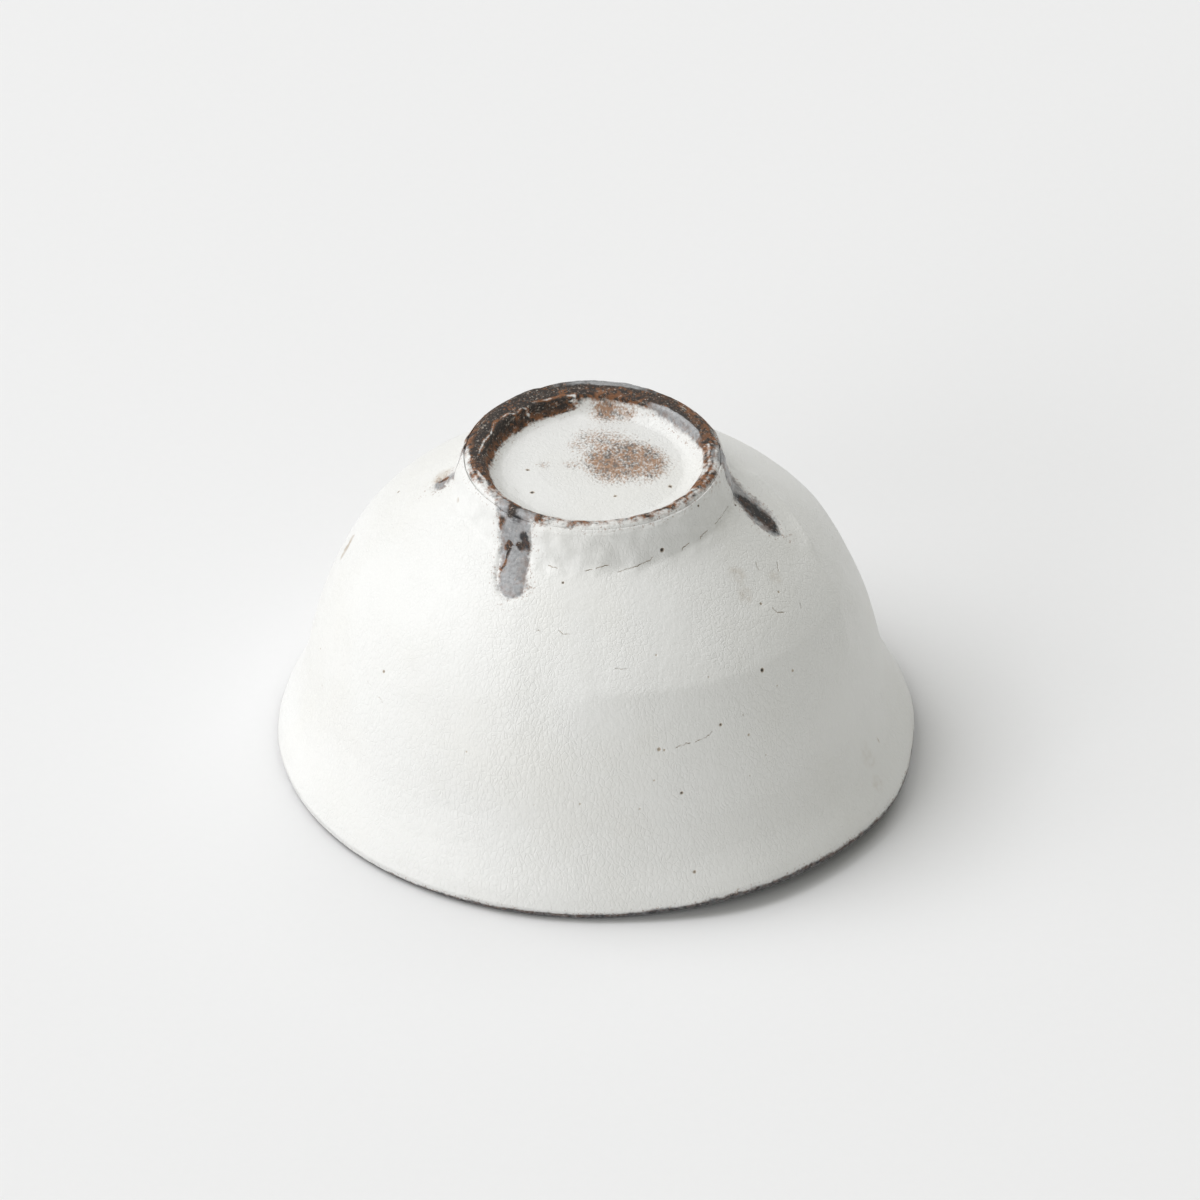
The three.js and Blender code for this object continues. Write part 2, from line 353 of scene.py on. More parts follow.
@dataclass(frozen=True)
class CupForm:
    """The form that all pieces share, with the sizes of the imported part."""

    root_knot: int = 2
    rim_knot: int = 7
    crown_height: float = 43.5
    well_radius: float = 12.9
    well_edge_drop: float = 0.7
    root_radius: float = 18.3
    root_drop: float = 3.2
    shoulder: tuple[float, float] = (25.0, 35.8)
    ridge: tuple[float, float] = (31.6, 29.6)
    belly: tuple[float, float] = (36.1, 20.5)
    waist: tuple[float, float] = (39.3, 9.0)
    rim_radius: float = 42.7
    rim_wall: float = 3.0
    side_wall: float = 3.3
    floor_wall: float = 4.8
    lip_round: float = 1.1
    foot_stand: float = 2.5
    foot_radius: float = 17.0
    foot_waist_radius: float = 17.5
    foot_round: float = 0.7
    bore_radius: float = 14.4
    bore_shift: tuple[float, float] = (0.3, -0.9)
    coat: float = 0.45
    well_coat: float = 0.35
    coat_edge: float = 0.15
    bond: float = 0.05
    lean: float = -0.5
    foot_pull: float = 0.5
    foot_pull_azimuth: float = 90.0
    rim_lift: float = 1.55
    rim_lift_azimuth: float = -30.0
    rim_lift_span: tuple[float, float] = (62.0, 25.0)
    rim_lift_height: float = 12.0
    rim_spread: float = 1.5
    rim_spread_azimuth: float = -45.0
    rim_spread_span: tuple[float, float] = (42.0, 12.0)
    rim_spread_height: float = 13.0

    @property
    def foot_height(self) -> float:
        """Height of the foot's lip."""
        return self.crown_height + self.foot_stand

    @property
    def root_height(self) -> float:
        """Height of the root, where the foot leaves the bowl."""
        return self.crown_height - self.root_drop

    @property
    def arris_height(self) -> float:
        """Height of the foot's outer arris."""
        return self.foot_height - self.foot_round

    def outside(self) -> Profile:
        """The clay outside of the bowl, from the crown to the rim."""
        return Profile(
            np.array(
                [
                    (0.0, self.crown_height),
                    (self.well_radius, self.crown_height - self.well_edge_drop),
                    (self.root_radius, self.root_height),
                    self.shoulder,
                    self.ridge,
                    self.belly,
                    self.waist,
                    (self.rim_radius, self.lip_round),
                ]
            )
        )

    def inside(self) -> Profile:
        """The clay inside of the bowl, from the middle of its floor to the rim."""
        knots = np.arange(self.rim_knot, dtype=float)
        walls = np.interp(knots, (0.0, knots[-1]), (self.floor_wall, self.side_wall))
        inner = self.outside().points(knots, -walls)
        inner[0, 0] = 0.0
        return Profile(np.vstack((inner, (self.rim_radius - self.rim_wall, self.lip_round))))

    def foot_wall(self, heights: np.ndarray, proud: float = 0.0) -> np.ndarray:
        """Points of the foot's clay outer wall at heights, moved outwards."""
        share = (heights - self.root_height) / (self.arris_height - self.root_height)
        radius = (
            (1 - share) ** 2 * self.root_radius
            + 2 * share * (1 - share) * self.foot_waist_radius
            + share**2 * self.foot_radius
        )
        return np.column_stack((radius + proud, heights))

    def leant(self, places: np.ndarray) -> np.ndarray:
        """Places of the upright cup moved to where the leaning cup has them."""
        return places + np.outer(places[:, 2], (self.lean / self.foot_height, 0.0, 0.0))

    def pull_foot(self, clay: "Clay") -> None:
        """Draws the foot's lip out at the back, where the hand left it less than round."""
        away = np.clip(turn_between(clay.azimuth, self.foot_pull_azimuth), -90.0, 90.0)
        share = smooth_step(clay.height, self.root_height, self.arris_height)
        share = share * smooth_step(clay.radius, self.bore_radius, self.foot_radius - 0.4)
        clay.move(along=self.foot_pull * share * np.cos(np.radians(away)))

    def rim_rise(self, azimuth: np.ndarray) -> np.ndarray:
        """How far the warped rim stands off the table."""
        away = np.abs(turn_between(azimuth, self.rim_lift_azimuth))
        return self.rim_lift * smooth_step(away, *self.rim_lift_span)

    def warp_rim(self, clay: "Clay") -> None:
        """Lifts the rim off the table at the front right and spreads it there, as it warped in the kiln."""
        up = smooth_step(clay.height, self.rim_lift_height, 0.0) * self.rim_rise(clay.azimuth)
        away = np.abs(turn_between(clay.azimuth, self.rim_spread_azimuth))
        out = smooth_step(clay.height, self.rim_spread_height, 0.0) * smooth_step(away, *self.rim_spread_span)
        across, along = on_plan(clay.azimuth, self.rim_spread * out).T
        clay.move(across, along, up)

    def upright(self, places: np.ndarray) -> tuple[np.ndarray, np.ndarray, np.ndarray]:
        """Azimuth, radius and height of places on the leaning cup, as if it stood upright."""
        across = places[:, 0] - self.lean * places[:, 2] / self.foot_height
        return np.degrees(np.arctan2(places[:, 1], across)), np.hypot(across, places[:, 1]), places[:, 2]


CUP = CupForm()


class Clay:
    """A mesh under the hand: its points in millimetres, and the values that they carry."""

    def __init__(self, mesh: bpy.types.Mesh) -> None:
        """Reads a mesh's points."""
        self.mesh = mesh
        self.refresh()

    def refresh(self) -> None:
        """Reads the points and their normals anew."""
        count = len(self.mesh.vertices)
        flat = np.empty(count * 3, np.float32)
        self.mesh.vertices.foreach_get("co", flat)
        self.places = flat.reshape(-1, 3).astype(float) / MM
        self.mesh.vertex_normals.foreach_get("vector", flat)
        self.normals = flat.reshape(-1, 3).astype(float)
        self.azimuth, self.radius, self.height = CUP.upright(self.places)

    def skin(self) -> np.ndarray:
        """For each point, 1 where the surface shows and 0 where another piece hides it."""
        found = np.empty(len(self.mesh.vertices), np.float32)
        self.mesh.attributes[SKIN].data.foreach_get("value", found)
        return found.astype(float)

    def move(self, across: Many = 0.0, along: Many = 0.0, up: Many = 0.0) -> None:
        """Moves the points by millimetres along x, y and z."""
        offsets = np.stack(np.broadcast_arrays(across, along, up, np.zeros(len(self.places)))[:3], axis=-1)
        moved = ((self.places + offsets) * MM).astype(np.float32)
        self.mesh.vertices.foreach_set("co", moved.ravel())
        self.mesh.update()
        self.refresh()

    def press(self, depths: np.ndarray) -> None:
        """Pushes the points in, against their normals."""
        self.move(*(-self.normals * depths[:, None]).T)

    def paint(self, chart: Chart, values: Many) -> None:
        """Stores one value for each point, for the material."""
        carry(self.mesh, chart.value, values)
        self.mesh.update()


class HandTool:
    """A Geometry Nodes tree that shapes one mesh at a time."""

    def __init__(self, name: str, inputs: dict[str, str]) -> None:
        """Makes the tree and its inputs.

        Args:
            name: the tree's name.
            inputs: kinds of the tree's inputs by name. The first takes the mesh.
        """
        self.tree = bpy.data.node_groups.new(name, "GeometryNodeTree")
        self.sockets: dict[str, str] = {}
        for label, kind in inputs.items():
            socket = self.tree.interface.new_socket(label, in_out="INPUT", socket_type="NodeSocket" + kind)
            self.sockets[label] = socket.identifier
        self.tree.interface.new_socket("Mesh", in_out="OUTPUT", socket_type="NodeSocketGeometry")
        self.bench = Bench(self.tree)
        self.given = self.bench.node("NodeGroupInput")

    def close(self, shape: Wire) -> None:
        """Ends the tree with plain geometry in the material that it is given."""
        shape = self.bench.node("GeometryNodeRealizeInstances", inputs={0: shape})
        finish = {"Geometry": shape, "Material": self.given.other("Material")}
        shape = self.bench.node("GeometryNodeSetMaterial", inputs=finish)
        self.bench.node("NodeGroupOutput", inputs={0: shape})

    def shape(self, mesh: bpy.types.Mesh, name: str, values: dict[str, object]) -> Clay:
        """Runs a mesh through the tree.

        Args:
            mesh: what goes in. It is removed afterwards.
            name: the name of what comes out.
            values: the tree's other inputs by name.

        Returns:
            A plain mesh, ready for handwork.
        """
        carrier = bpy.data.objects.new(name + "_carrier", mesh)
        bpy.context.scene.collection.objects.link(carrier)
        modifier = carrier.modifiers.new(self.tree.name, "NODES")
        modifier.node_group = self.tree
        for key, value in values.items():
            modifier[self.sockets[key]] = value
        shaped = carrier.evaluated_get(bpy.context.evaluated_depsgraph_get())
        made = bpy.data.meshes.new_from_object(shaped)
        made.name = name
        bpy.data.objects.remove(carrier)
        bpy.data.meshes.remove(mesh)
        return Clay(made)


class Wheel(HandTool):
    """Turns outlines into closed meshes."""

    def __init__(self) -> None:
        """Wires the tree: a grid whose columns go round the axis and whose rows follow the outline."""
        sizes = dict.fromkeys(("Lean", "Wobble", "Swell", "Swell Size", "Swell Detail", "Seed"), "Float")
        super().__init__(
            "turned_on_the_wheel",
            {"Outline": "Geometry", "Segments": "Int", **sizes, "Material": "Material"},
        )
        bench, given = self.bench, self.given
        outline, segments, seed = given.other("Outline"), given.other("Segments"), given.other("Seed")
        count = bench.node(
            "GeometryNodeAttributeDomainSize", {"component": "MESH"}, {0: outline}, "Point Count"
        )
        grid = bench.node(
            "GeometryNodeMeshGrid",
            inputs={"Size X": 1.0, "Size Y": 1.0, "Vertices X": segments + 1.0, "Vertices Y": count},
        )
        position = bench.node("GeometryNodeInputPosition")
        cell = bench.node("ShaderNodeSeparateXYZ", inputs={0: position})
        angle = (cell.other("X") + 0.5) * math.tau
        row = bench.node(
            "FunctionNodeFloatToInt", {"rounding_mode": "ROUND"}, {0: (cell.other("Y") + 0.5) * (count - 1.0)}
        )
        point = bench.sampled(outline, position, row, "FLOAT_VECTOR")
        place = bench.node("ShaderNodeSeparateXYZ", inputs={0: point})
        radius, height = place.other("X"), place.other("Z")
        ovals = bench.math("SINE", angle * 2.0 + seed) + bench.math("SINE", angle * 3.0 + seed * 1.7) * 0.6
        radius = radius + radius * ovals * given.other("Wobble")
        turned = bench.node(
            "ShaderNodeCombineXYZ",
            inputs={
                "X": radius * bench.math("COSINE", angle) + height * given.other("Lean"),
                "Y": radius * bench.math("SINE", angle),
                "Z": height,
            },
        )
        shape = bench.moved(grid, Position=turned)
        shape = bench.stored(shape, SKIN, bench.sampled(outline, bench.named(SKIN), row))
        shape = bench.node("GeometryNodeMergeByDistance", inputs={"Geometry": shape, "Distance": 1e-7})
        swell = bench.node(
            "ShaderNodeTexNoise",
            {"noise_dimensions": "4D"},
            {
                "Vector": position,
                "W": seed,
                "Scale": 1.0 / given.other("Swell Size"),
                "Detail": given.other("Swell Detail"),
            },
        )
        push = (swell - 0.5) * 2.0 * given.other("Swell") * bench.named(SKIN)
        normal = bench.node("GeometryNodeInputNormal")
        shape = bench.moved(shape, Offset=bench.vector("SCALE", normal, scale=push))
        shape = bench.node("GeometryNodeSetShadeSmooth", inputs={"Geometry": shape, "Shade Smooth": True})
        self.close(shape)

    def throw(
        self,
        name: str,
        outline: np.ndarray,
        skin: np.ndarray,
        material: bpy.types.Material,
        segments: int,
        swell: tuple[float, float, float],
        seed: float,
    ) -> Clay:
        """Turns one outline.

        Args:
            name: the mesh's name.
            outline: points of radius and height, up the outside and down the inside, on the axis at both
                ends or with its first point repeated at the end.
            skin: for each point, 1 where the surface shows and 0 where another piece hides it.
            material: the finish of the whole mesh.
            segments: columns round the axis.
            swell: height, size and detail of the unevenness that the hand leaves on the skin.
            seed: moves the unevenness.

        Returns:
            The mesh, ready for handwork.
        """
        wire = bpy.data.meshes.new(name + "_outline")
        points = [(radius * MM, 0.0, height * MM) for radius, height in outline]
        wire.from_pydata(points, [(i, i + 1) for i in range(len(points) - 1)], [])
        carry(wire, SKIN, skin)
        values = {
            "Segments": segments,
            "Lean": CUP.lean / CUP.foot_height,
            "Wobble": HAND_WOBBLE,
            "Swell": swell[0] * MM,
            "Swell Size": swell[1] * MM,
            "Swell Detail": swell[2],
            "Seed": seed,
            "Material": material,
        }
        return self.shape(wire, name, values)


class Blemisher(HandTool):
    """Sinks pinholes and hairline cracks into a surface."""

    def __init__(self) -> None:
        """Wires the tree: each point sinks by its distance to the nearest pinhole and the nearest crack."""
        super().__init__(
            "pinholes_and_cracks",
            {"Surface": "Geometry", "Pinholes": "Object", "Cracks": "Object", "Material": "Material"},
        )
        bench, given = self.bench, self.given
        surface = given.other("Surface")
        place = bench.node("GeometryNodeInputPosition")
        holes = self._laid_on(surface, given.other("Pinholes"))
        nearest = self._nearest(holes)
        centre = bench.sampled(holes, place, nearest, "FLOAT_VECTOR")
        reach, depth, shade = (
            bench.sampled(holes, bench.named(size), nearest) for size in ("reach", "sink", "shade")
        )
        away = bench.vector("DISTANCE", place, centre).other("Value")
        hole = (away / reach).ramp(1.0, 0.35)
        cracks = self._laid_on(surface, given.other("Cracks"))
        gap = bench.node("GeometryNodeProximity", {"target_element": "EDGES"}, {0: cracks}, "Distance")
        crack = gap.ramp(CRACK_REACH * MM, CRACK_REACH * MM * 0.3)
        crack_shade = bench.sampled(cracks, bench.named("shade"), self._nearest(cracks))
        shape = bench.stored(surface, Chart.PIT.value, (hole * shade).at_least(crack * crack_shade))
        sink = (hole * depth).at_least(crack * (CRACK_DEPTH * MM))
        normal = bench.node("GeometryNodeInputNormal")
        self.close(bench.moved(shape, Offset=bench.vector("SCALE", normal, scale=-sink)))

    def _nearest(self, geometry: Wire) -> Wire:
        """The number of the nearest point of a geometry."""
        return self.bench.node("GeometryNodeSampleNearest", {"domain": "POINT"}, {"Geometry": geometry})

    def _laid_on(self, surface: Wire, held: Wire) -> Wire:
        """The geometry of an object, each point of it moved to the nearest place of the surface."""
        bench = self.bench
        loose = bench.node("GeometryNodeObjectInfo", inputs={"Object": held}, output="Geometry")
        found = bench.node("GeometryNodeProximity", {"target_element": "FACES"}, {0: surface}, "Position")
        return bench.moved(loose, Position=found)

    def sink(
        self,
        clay: Clay,
        name: str,
        pinholes: np.ndarray,
        cracks: list[np.ndarray],
        material: bpy.types.Material,
    ) -> Clay:
        """Sinks pinholes and cracks into one surface.

        Args:
            clay: the surface.
            name: the new mesh's name.
            pinholes: rows of x, y, z, reach, sink and shade, all but the last in millimetres.
            cracks: lines with rows of x, y, z and shade, all but the last in millimetres.
            material: the finish of the whole mesh.

        Returns:
            The surface with its blemishes.
        """
        holes = bpy.data.meshes.new(name + "_pinholes")
        holes.from_pydata((pinholes[:, :3] * MM).tolist(), [], [])
        for column, (size, unit) in enumerate((("reach", MM), ("sink", MM), ("shade", 1.0)), 3):
            carry(holes, size, pinholes[:, column] * unit)
        lines = bpy.data.meshes.new(name + "_cracks")
        points = np.vstack(cracks)
        ends = np.cumsum([len(line) for line in cracks])
        edges = [(i, i + 1) for i in range(len(points) - 1) if i + 1 not in ends]
        lines.from_pydata((points[:, :3] * MM).tolist(), edges, [])
        carry(lines, "shade", points[:, 3])
        holders = [bpy.data.objects.new(mesh.name, mesh) for mesh in (holes, lines)]
        for holder in holders:
            bpy.context.scene.collection.objects.link(holder)
        values = {"Pinholes": holders[0], "Cracks": holders[1], "Material": material}
        made = self.shape(clay.mesh, name, values)
        for holder, mesh in zip(holders, (holes, lines)):
            bpy.data.objects.remove(holder)
            bpy.data.meshes.remove(mesh)
        return made


def settle(name: str, mesh: bpy.types.Mesh) -> bpy.types.Object:
    """Makes a mesh the piece that stands for the CAD node of the same name.

    Args:
        name: the node's name.
        mesh: the finished mesh.

    Returns:
        The piece.
    """
    piece = bpy.data.objects.new(name + "_dressed", mesh)
    bpy.context.scene.collection.objects.link(piece)
    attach(piece, "root")
    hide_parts(name)
    log.info("%s: %d points, %d faces", piece.name, len(mesh.vertices), len(mesh.polygons))
    return piece


@dataclass(frozen=True)
class WhiteSlip:
    """White slip under clear glaze, finely crazed."""

    colour: Colour = (0.8, 0.8, 0.782)
    warm: Colour = (0.78, 0.775, 0.745)
    roughness: float = 0.4
    gloss: float = 0.35
    craze_per_mm: float = 1.6
    craze_line: float = 0.17
    craze_shade: float = 0.008
    craze_depth: float = 0.035
    peel: float = 0.08
    ripple: float = 0.075
    thickness: float = 0.06


@dataclass(frozen=True)
class GreyGlaze:
    """Clear glaze on bare clay, which turns it blue-grey, and near black where it pools."""

    colour: Colour = (0.37, 0.375, 0.383)
    deep: Colour = (0.2, 0.2, 0.203)
    black: Colour = (0.03, 0.03, 0.032)
    crystal: Colour = (0.52, 0.53, 0.54)
    roughness: float = 0.26


@dataclass(frozen=True)
class IronClay:
    """Bare iron clay, burnt brown to black, rusty along the edge of the slip."""

    dark: Colour = (0.032, 0.026, 0.023)
    brown: Colour = (0.09, 0.068, 0.055)
    rust: Colour = (0.235, 0.103, 0.045)
    ochre: Colour = (0.33, 0.17, 0.08)
    grit: Colour = (0.44, 0.40, 0.35)
    tan: Colour = (0.33, 0.22, 0.10)
    roughness: float = 0.7
    grit_depth: float = 0.12


@dataclass(frozen=True)
class FiredSurface:
    """One fired surface: white slip, grey glaze and bare clay, told apart by what each point carries."""

    slip: WhiteSlip = field(default_factory=WhiteSlip)
    glaze: GreyGlaze = field(default_factory=GreyGlaze)
    clay: IronClay = field(default_factory=IronClay)

    def material(self, name: str) -> bpy.types.Material:
        """Builds the material.

        Args:
            name: the material's name.

        Returns:
            A material that reads the charts of a piece and its object coordinates.
        """
        material, bench = new_material(name)
        place = bench.place_in_mm()
        charts = {
            chart: bench.node("ShaderNodeAttribute", {"attribute_name": chart.value}, output="Fac")
            for chart in Chart
        }
        fine = bench.noise(place, 2.6, 3.0, 2.0) - 0.5
        grain = bench.noise(place, 3.2, 2.0, 3.0)
        streaks = self._streaks(bench, place)
        rag = (bench.noise(place, 0.55, 4.0, 1.0) - 0.5) * 1.6 + fine * 0.9
        edge = charts[Chart.SLIP] + rag + streaks * charts[Chart.IRON] * 1.5
        flecks = grain.ramp(0.64, 0.72) * edge.ramp(-2.8, -0.3)
        slip = edge.ramp(-0.3, 0.4).at_least(flecks * 0.7)

        bare, bare_rough, iron = self._bare(bench, place, charts, edge, grain, streaks)
        white, white_rough, craze = self._white(bench, place, charts)
        colour = bench.mix(slip, bare, white)
        rough = bare_rough + (white_rough - bare_rough) * slip
        crumbs = grain.ramp(0.58, 0.66) * edge.ramp(1.6, 0.1) * slip
        colour = bench.mix(crumbs * 0.65, colour, self.clay.rust)
        hole = charts[Chart.PIT]
        halo = hole * bench.noise(place, 1.1, 3.0, 19.0) * 2.0
        colour = bench.mix(halo.ramp(0.05, 0.5) * 0.6, colour, self.clay.tan)
        colour = bench.mix(hole.ramp(0.45, 0.9) * 0.95, colour, self.clay.dark)
        rough = rough.at_least(hole * 0.6)

        upright = bench.vector("MULTIPLY", place, (1.0, 1.0, 0.5))
        relief = (
            bench.noise(place, 0.9, 2.0, 9.0) * self.slip.peel
            + bench.noise(upright, 1.7, 2.0, 17.0) * self.slip.ripple
            + slip * (self.slip.thickness - craze * self.slip.craze_depth)
            + (1.0 - slip) * iron * (grain + fine) * self.clay.grit_depth
        )
        normal = bench.node("ShaderNodeBump", inputs={"Strength": 0.8, "Distance": MM, "Height": relief})
        finish = {"Base Color": colour, "Roughness": rough, "Specular IOR Level": self.slip.gloss}
        bench.surface({**finish, "Normal": normal})
        return material

    @staticmethod
    def _streaks(bench: Bench, place: Wire) -> Wire:
        """Noise about 0 that is drawn out round the axis, as a wet hand on the turning wheel leaves it."""
        flat = bench.vector("MULTIPLY", place, (1.0, 1.0, 0.0))
        away = bench.vector("LENGTH", flat).other("Value")
        turned = bench.vector("SCALE", bench.vector("NORMALIZE", flat), scale=6.0)
        raised = bench.vector("ADD", turned, bench.vector("MULTIPLY", place, (0.0, 0.0, 1.3)))
        return bench.noise(raised, 1.0, 4.0, away * 1.6) - 0.5

    def _bare(
        self, bench: Bench, place: Wire, charts: dict[Chart, Wire], edge: Wire, grain: Wire, streaks: Wire
    ) -> tuple[Wire, Wire, Wire]:
        """What shows where the slip is missing.

        Args:
            bench: the material's tree.
            place: object coordinates in millimetres.
            charts: what each point carries.
            edge: distance inside the slip's ragged edge.
            grain: fine noise.
            streaks: noise drawn out round the axis.

        Returns:
            Colour, roughness, and the share of bare clay among the glaze.
        """
        blotch = bench.noise(place, 0.6, 4.0, 4.0)
        mottle = bench.noise(place, 2.0, 3.0, 5.0)
        iron = (charts[Chart.IRON] + (blotch - 0.5) * 0.9).ramp(0.35, 0.65)
        pooled = (charts[Chart.DARK] + (mottle - 0.5) * 0.9).ramp(0.3, 0.75)
        grey = bench.mix(mottle.ramp(0.62, 0.36) * 0.6, self.glaze.colour, self.glaze.deep)
        grey = bench.mix(pooled, grey, self.glaze.black)
        grey = bench.mix(bench.noise(place, 3.3, 1.0, 12.0).ramp(0.69, 0.75) * 0.5, grey, self.glaze.crystal)
        burnt = bench.mix((mottle * 0.6 + grain * 1.4).ramp(0.9, 1.3), self.clay.dark, self.clay.brown)
        rust = bench.noise(place, 0.45, 3.0, 6.0) * 0.8 + bench.noise(place, 2.8, 3.0, 16.0)
        burnt = bench.mix(rust.ramp(0.98, 1.12) * 0.8, burnt, self.clay.rust)
        grit = bench.noise(place, 3.6, 1.0, 13.0).ramp(0.6, 0.7)
        grit = grit * bench.noise(place, 0.7, 2.0, 18.0).ramp(0.4, 0.6)
        burnt = bench.mix(grit * 0.6, burnt, self.clay.grit)
        burnt = bench.mix((streaks + grain * 0.5).ramp(0.36, 0.48) * 0.7, burnt, self.clay.grit)
        fringe = edge.ramp(-1.5, -0.1) * bench.noise(place, 1.4, 4.0, 14.0).ramp(0.42, 0.58)
        fringe = fringe * (0.3 + 0.7 * iron)
        rough = iron * (self.clay.roughness - self.glaze.roughness) + self.glaze.roughness
        return bench.mix(fringe, bench.mix(iron, grey, burnt), self.clay.rust), rough, iron

    def _white(self, bench: Bench, place: Wire, charts: dict[Chart, Wire]) -> tuple[Wire, Wire, Wire]:
        """The slip: crazed, warm in patches, stained where its chart says so.

        Args:
            bench: the material's tree.
            place: object coordinates in millimetres.
            charts: what each point carries.

        Returns:
            Colour, roughness, and the web of crazing.
        """
        drifting = {"Vector": place, "Scale": 0.5, "Detail": 2.0}
        drift = bench.node("ShaderNodeTexNoise", inputs=drifting, output="Color")
        web = bench.node(
            "ShaderNodeTexVoronoi",
            {"feature": "DISTANCE_TO_EDGE"},
            {
                "Vector": bench.vector("MULTIPLY", bench.vector("ADD", place, drift), (1.0, 1.0, 0.55)),
                "Scale": self.slip.craze_per_mm,
                "Randomness": 0.9,
            },
        )
        craze = web.ramp(self.slip.craze_line, 0.0) * bench.noise(place, 0.09, 3.0, 7.0).ramp(0.25, 0.6)
        warm = bench.noise(place, 0.05, 3.0, 8.0).ramp(0.45, 0.7)
        white = bench.mix(warm * 0.8, self.slip.colour, self.slip.warm)
        white = bench.mix(craze * self.slip.craze_shade, white, self.clay.brown)
        white = bench.mix(charts[Chart.DARK] * 0.35, white, self.glaze.colour)
        smear = bench.vector("MULTIPLY", place, (1.15, 0.85, 1.0))
        soot = bench.noise(smear, 2.9, 4.0, 10.0)
        stain = (charts[Chart.STAIN] - (soot - 0.36) * 2.2).ramp(0.0, 0.85)
        burnt = bench.noise(smear, 1.5, 4.0, 15.0).ramp(0.42, 0.64)
        brown = bench.mix(burnt, self.clay.ochre, self.clay.brown)
        stain = stain * charts[Chart.STAIN].ramp(0.02, 0.3)
        rough = self.slip.roughness + (bench.noise(place, 0.3, 2.0, 11.0) - 0.5) * 0.12 + stain * 0.3
        return bench.mix(stain * 0.9, white, brown), rough, craze


@dataclass(frozen=True)
class FingerMark:
    """A place at the foot that a finger kept free of slip, with glaze lying on the bare clay."""

    name: str
    azimuth: float
    stations: Spots
    tip: tuple[float, float]
    burnt: Spots = ()
    pooled: Spots = ()
    sunk: float = 0.32
    glaze_depth: float = 0.12
    thickness: float = 0.3
    tuck: float = 0.45
    below_arris: float = 0.25
    feather: float = 0.9
    shoulder_slope: float = 1.4
    rows: int = 44
    columns: int = 26
    cast_from: float = 60.0

    def middle_and_half(self, rise: np.ndarray) -> tuple[np.ndarray, np.ndarray]:
        """Drift along the tangent and half width at rises above the root."""
        rows = [(*self.tip, 0.0), *((drift, up, half) for drift, half, up in reversed(self.stations))]
        drifts, ups, halves = np.array(rows).T
        half = np.interp(rise, ups, halves)
        half = np.where(rise < ups[1], np.sqrt(half * halves[1]), half)
        return np.interp(rise, ups, drifts), half

    def _around_and_rise(self, clay: Clay) -> tuple[np.ndarray, np.ndarray]:
        """Distance along the tangent from the mark's azimuth, and rise above the root, of each point."""
        around = np.radians(turn_between(clay.azimuth, self.azimuth)) * clay.radius
        return around, clay.height - CUP.root_height

    def outside_edge(self, clay: Clay) -> np.ndarray:
        """Distance of each point outside the mark's outline, below 0 inside it."""
        around, rise = self._around_and_rise(clay)
        middle, half = self.middle_and_half(rise)
        return np.maximum(np.abs(around - middle) - half, (self.tip[1] - rise) * self.shoulder_slope)

    def share(self, spots: Spots, clay: Clay) -> np.ndarray:
        """Share of burnt clay or pooled glaze.

        Args:
            spots: drift along the tangent, rise above the root, and reach of each spot.
            clay: the piece.

        Returns:
            From 0 to 1 for each point of the piece.
        """
        around, rise = self._around_and_rise(clay)
        found = np.zeros(len(around))
        for drift, up, reach in spots:
            found = np.maximum(found, np.exp(-(((around - drift) ** 2 + (rise - up) ** 2) / reach**2)))
        return found

    def build(self, coat: Clay, chart: "SlipChart", material: bpy.types.Material) -> bpy.types.Object:
        """Lays the glaze into the hollow of the coat.

        Args:
            coat: the outer coat before its hollows are pressed.
            chart: tells where slip and iron are.
            material: the fired surface.

        Returns:
            The piece.
        """
        rows, columns = self.rows, self.columns
        coat_faces = [tuple(face.vertices) for face in coat.mesh.polygons]
        tree = BVHTree.FromPolygons(coat.places.tolist(), coat_faces)
        top = CUP.arris_height - self.below_arris - CUP.root_height
        rises = np.linspace(top, self.tip[1] - self.tuck, rows)
        middle, half = self.middle_and_half(rises)
        fronts, backs = [], []
        for rise, drift, reach in zip(rises, middle, half):
            height = CUP.root_height + rise
            radius = max(CUP.root_radius, CUP.root_radius - rise * self.shoulder_slope)
            axis = Vector((CUP.lean * height / CUP.foot_height, 0.0, height))
            upper = rise / top if rise > top * 0.9 else 0.0
            for share in np.linspace(-1.0, 1.0, columns):
                turn = math.radians(self.azimuth) + (drift + share * (reach + self.tuck)) / radius
                inwards = Vector((-math.cos(turn), -math.sin(turn), 0.0))
                place, normal, _, _ = tree.ray_cast(axis - inwards * self.cast_from, inwards)
                edge = max(abs(share) ** 3, upper)
                fronts.append(place - normal * (self.glaze_depth + self.thickness * edge * self.feather))
                backs.append(place - normal * (self.glaze_depth + self.thickness))
        faces = []
        size = rows * columns
        for row in range(rows - 1):
            for column in range(columns - 1):
                a = row * columns + column
                b, c, d = a + 1, a + columns + 1, a + columns
                faces += [(a, d, c, b), (size + a, size + b, size + c, size + d)]
        rim = list(range(columns))
        rim += [row * columns + columns - 1 for row in range(1, rows)]
        rim += [(rows - 1) * columns + column for column in range(columns - 2, -1, -1)]
        rim += [row * columns for row in range(rows - 2, 0, -1)]
        faces += [(a, b, size + b, size + a) for a, b in zip(rim, rim[1:] + rim[:1])]
        mesh = bpy.data.meshes.new(self.name)
        mesh.from_pydata([tuple(point * MM) for point in fronts + backs], [], faces)
        mesh.shade_smooth()
        mesh.materials.append(material)
        chart.paint(Clay(mesh))
        return settle(self.name, mesh)


@dataclass(frozen=True)
class LipStation:
    """How far the bare clay of the foot's lip runs down, and how much of it is burnt rather than glazed."""

    azimuth: float
    outer: float
    inner: float
    outer_iron: float
    inner_iron: float


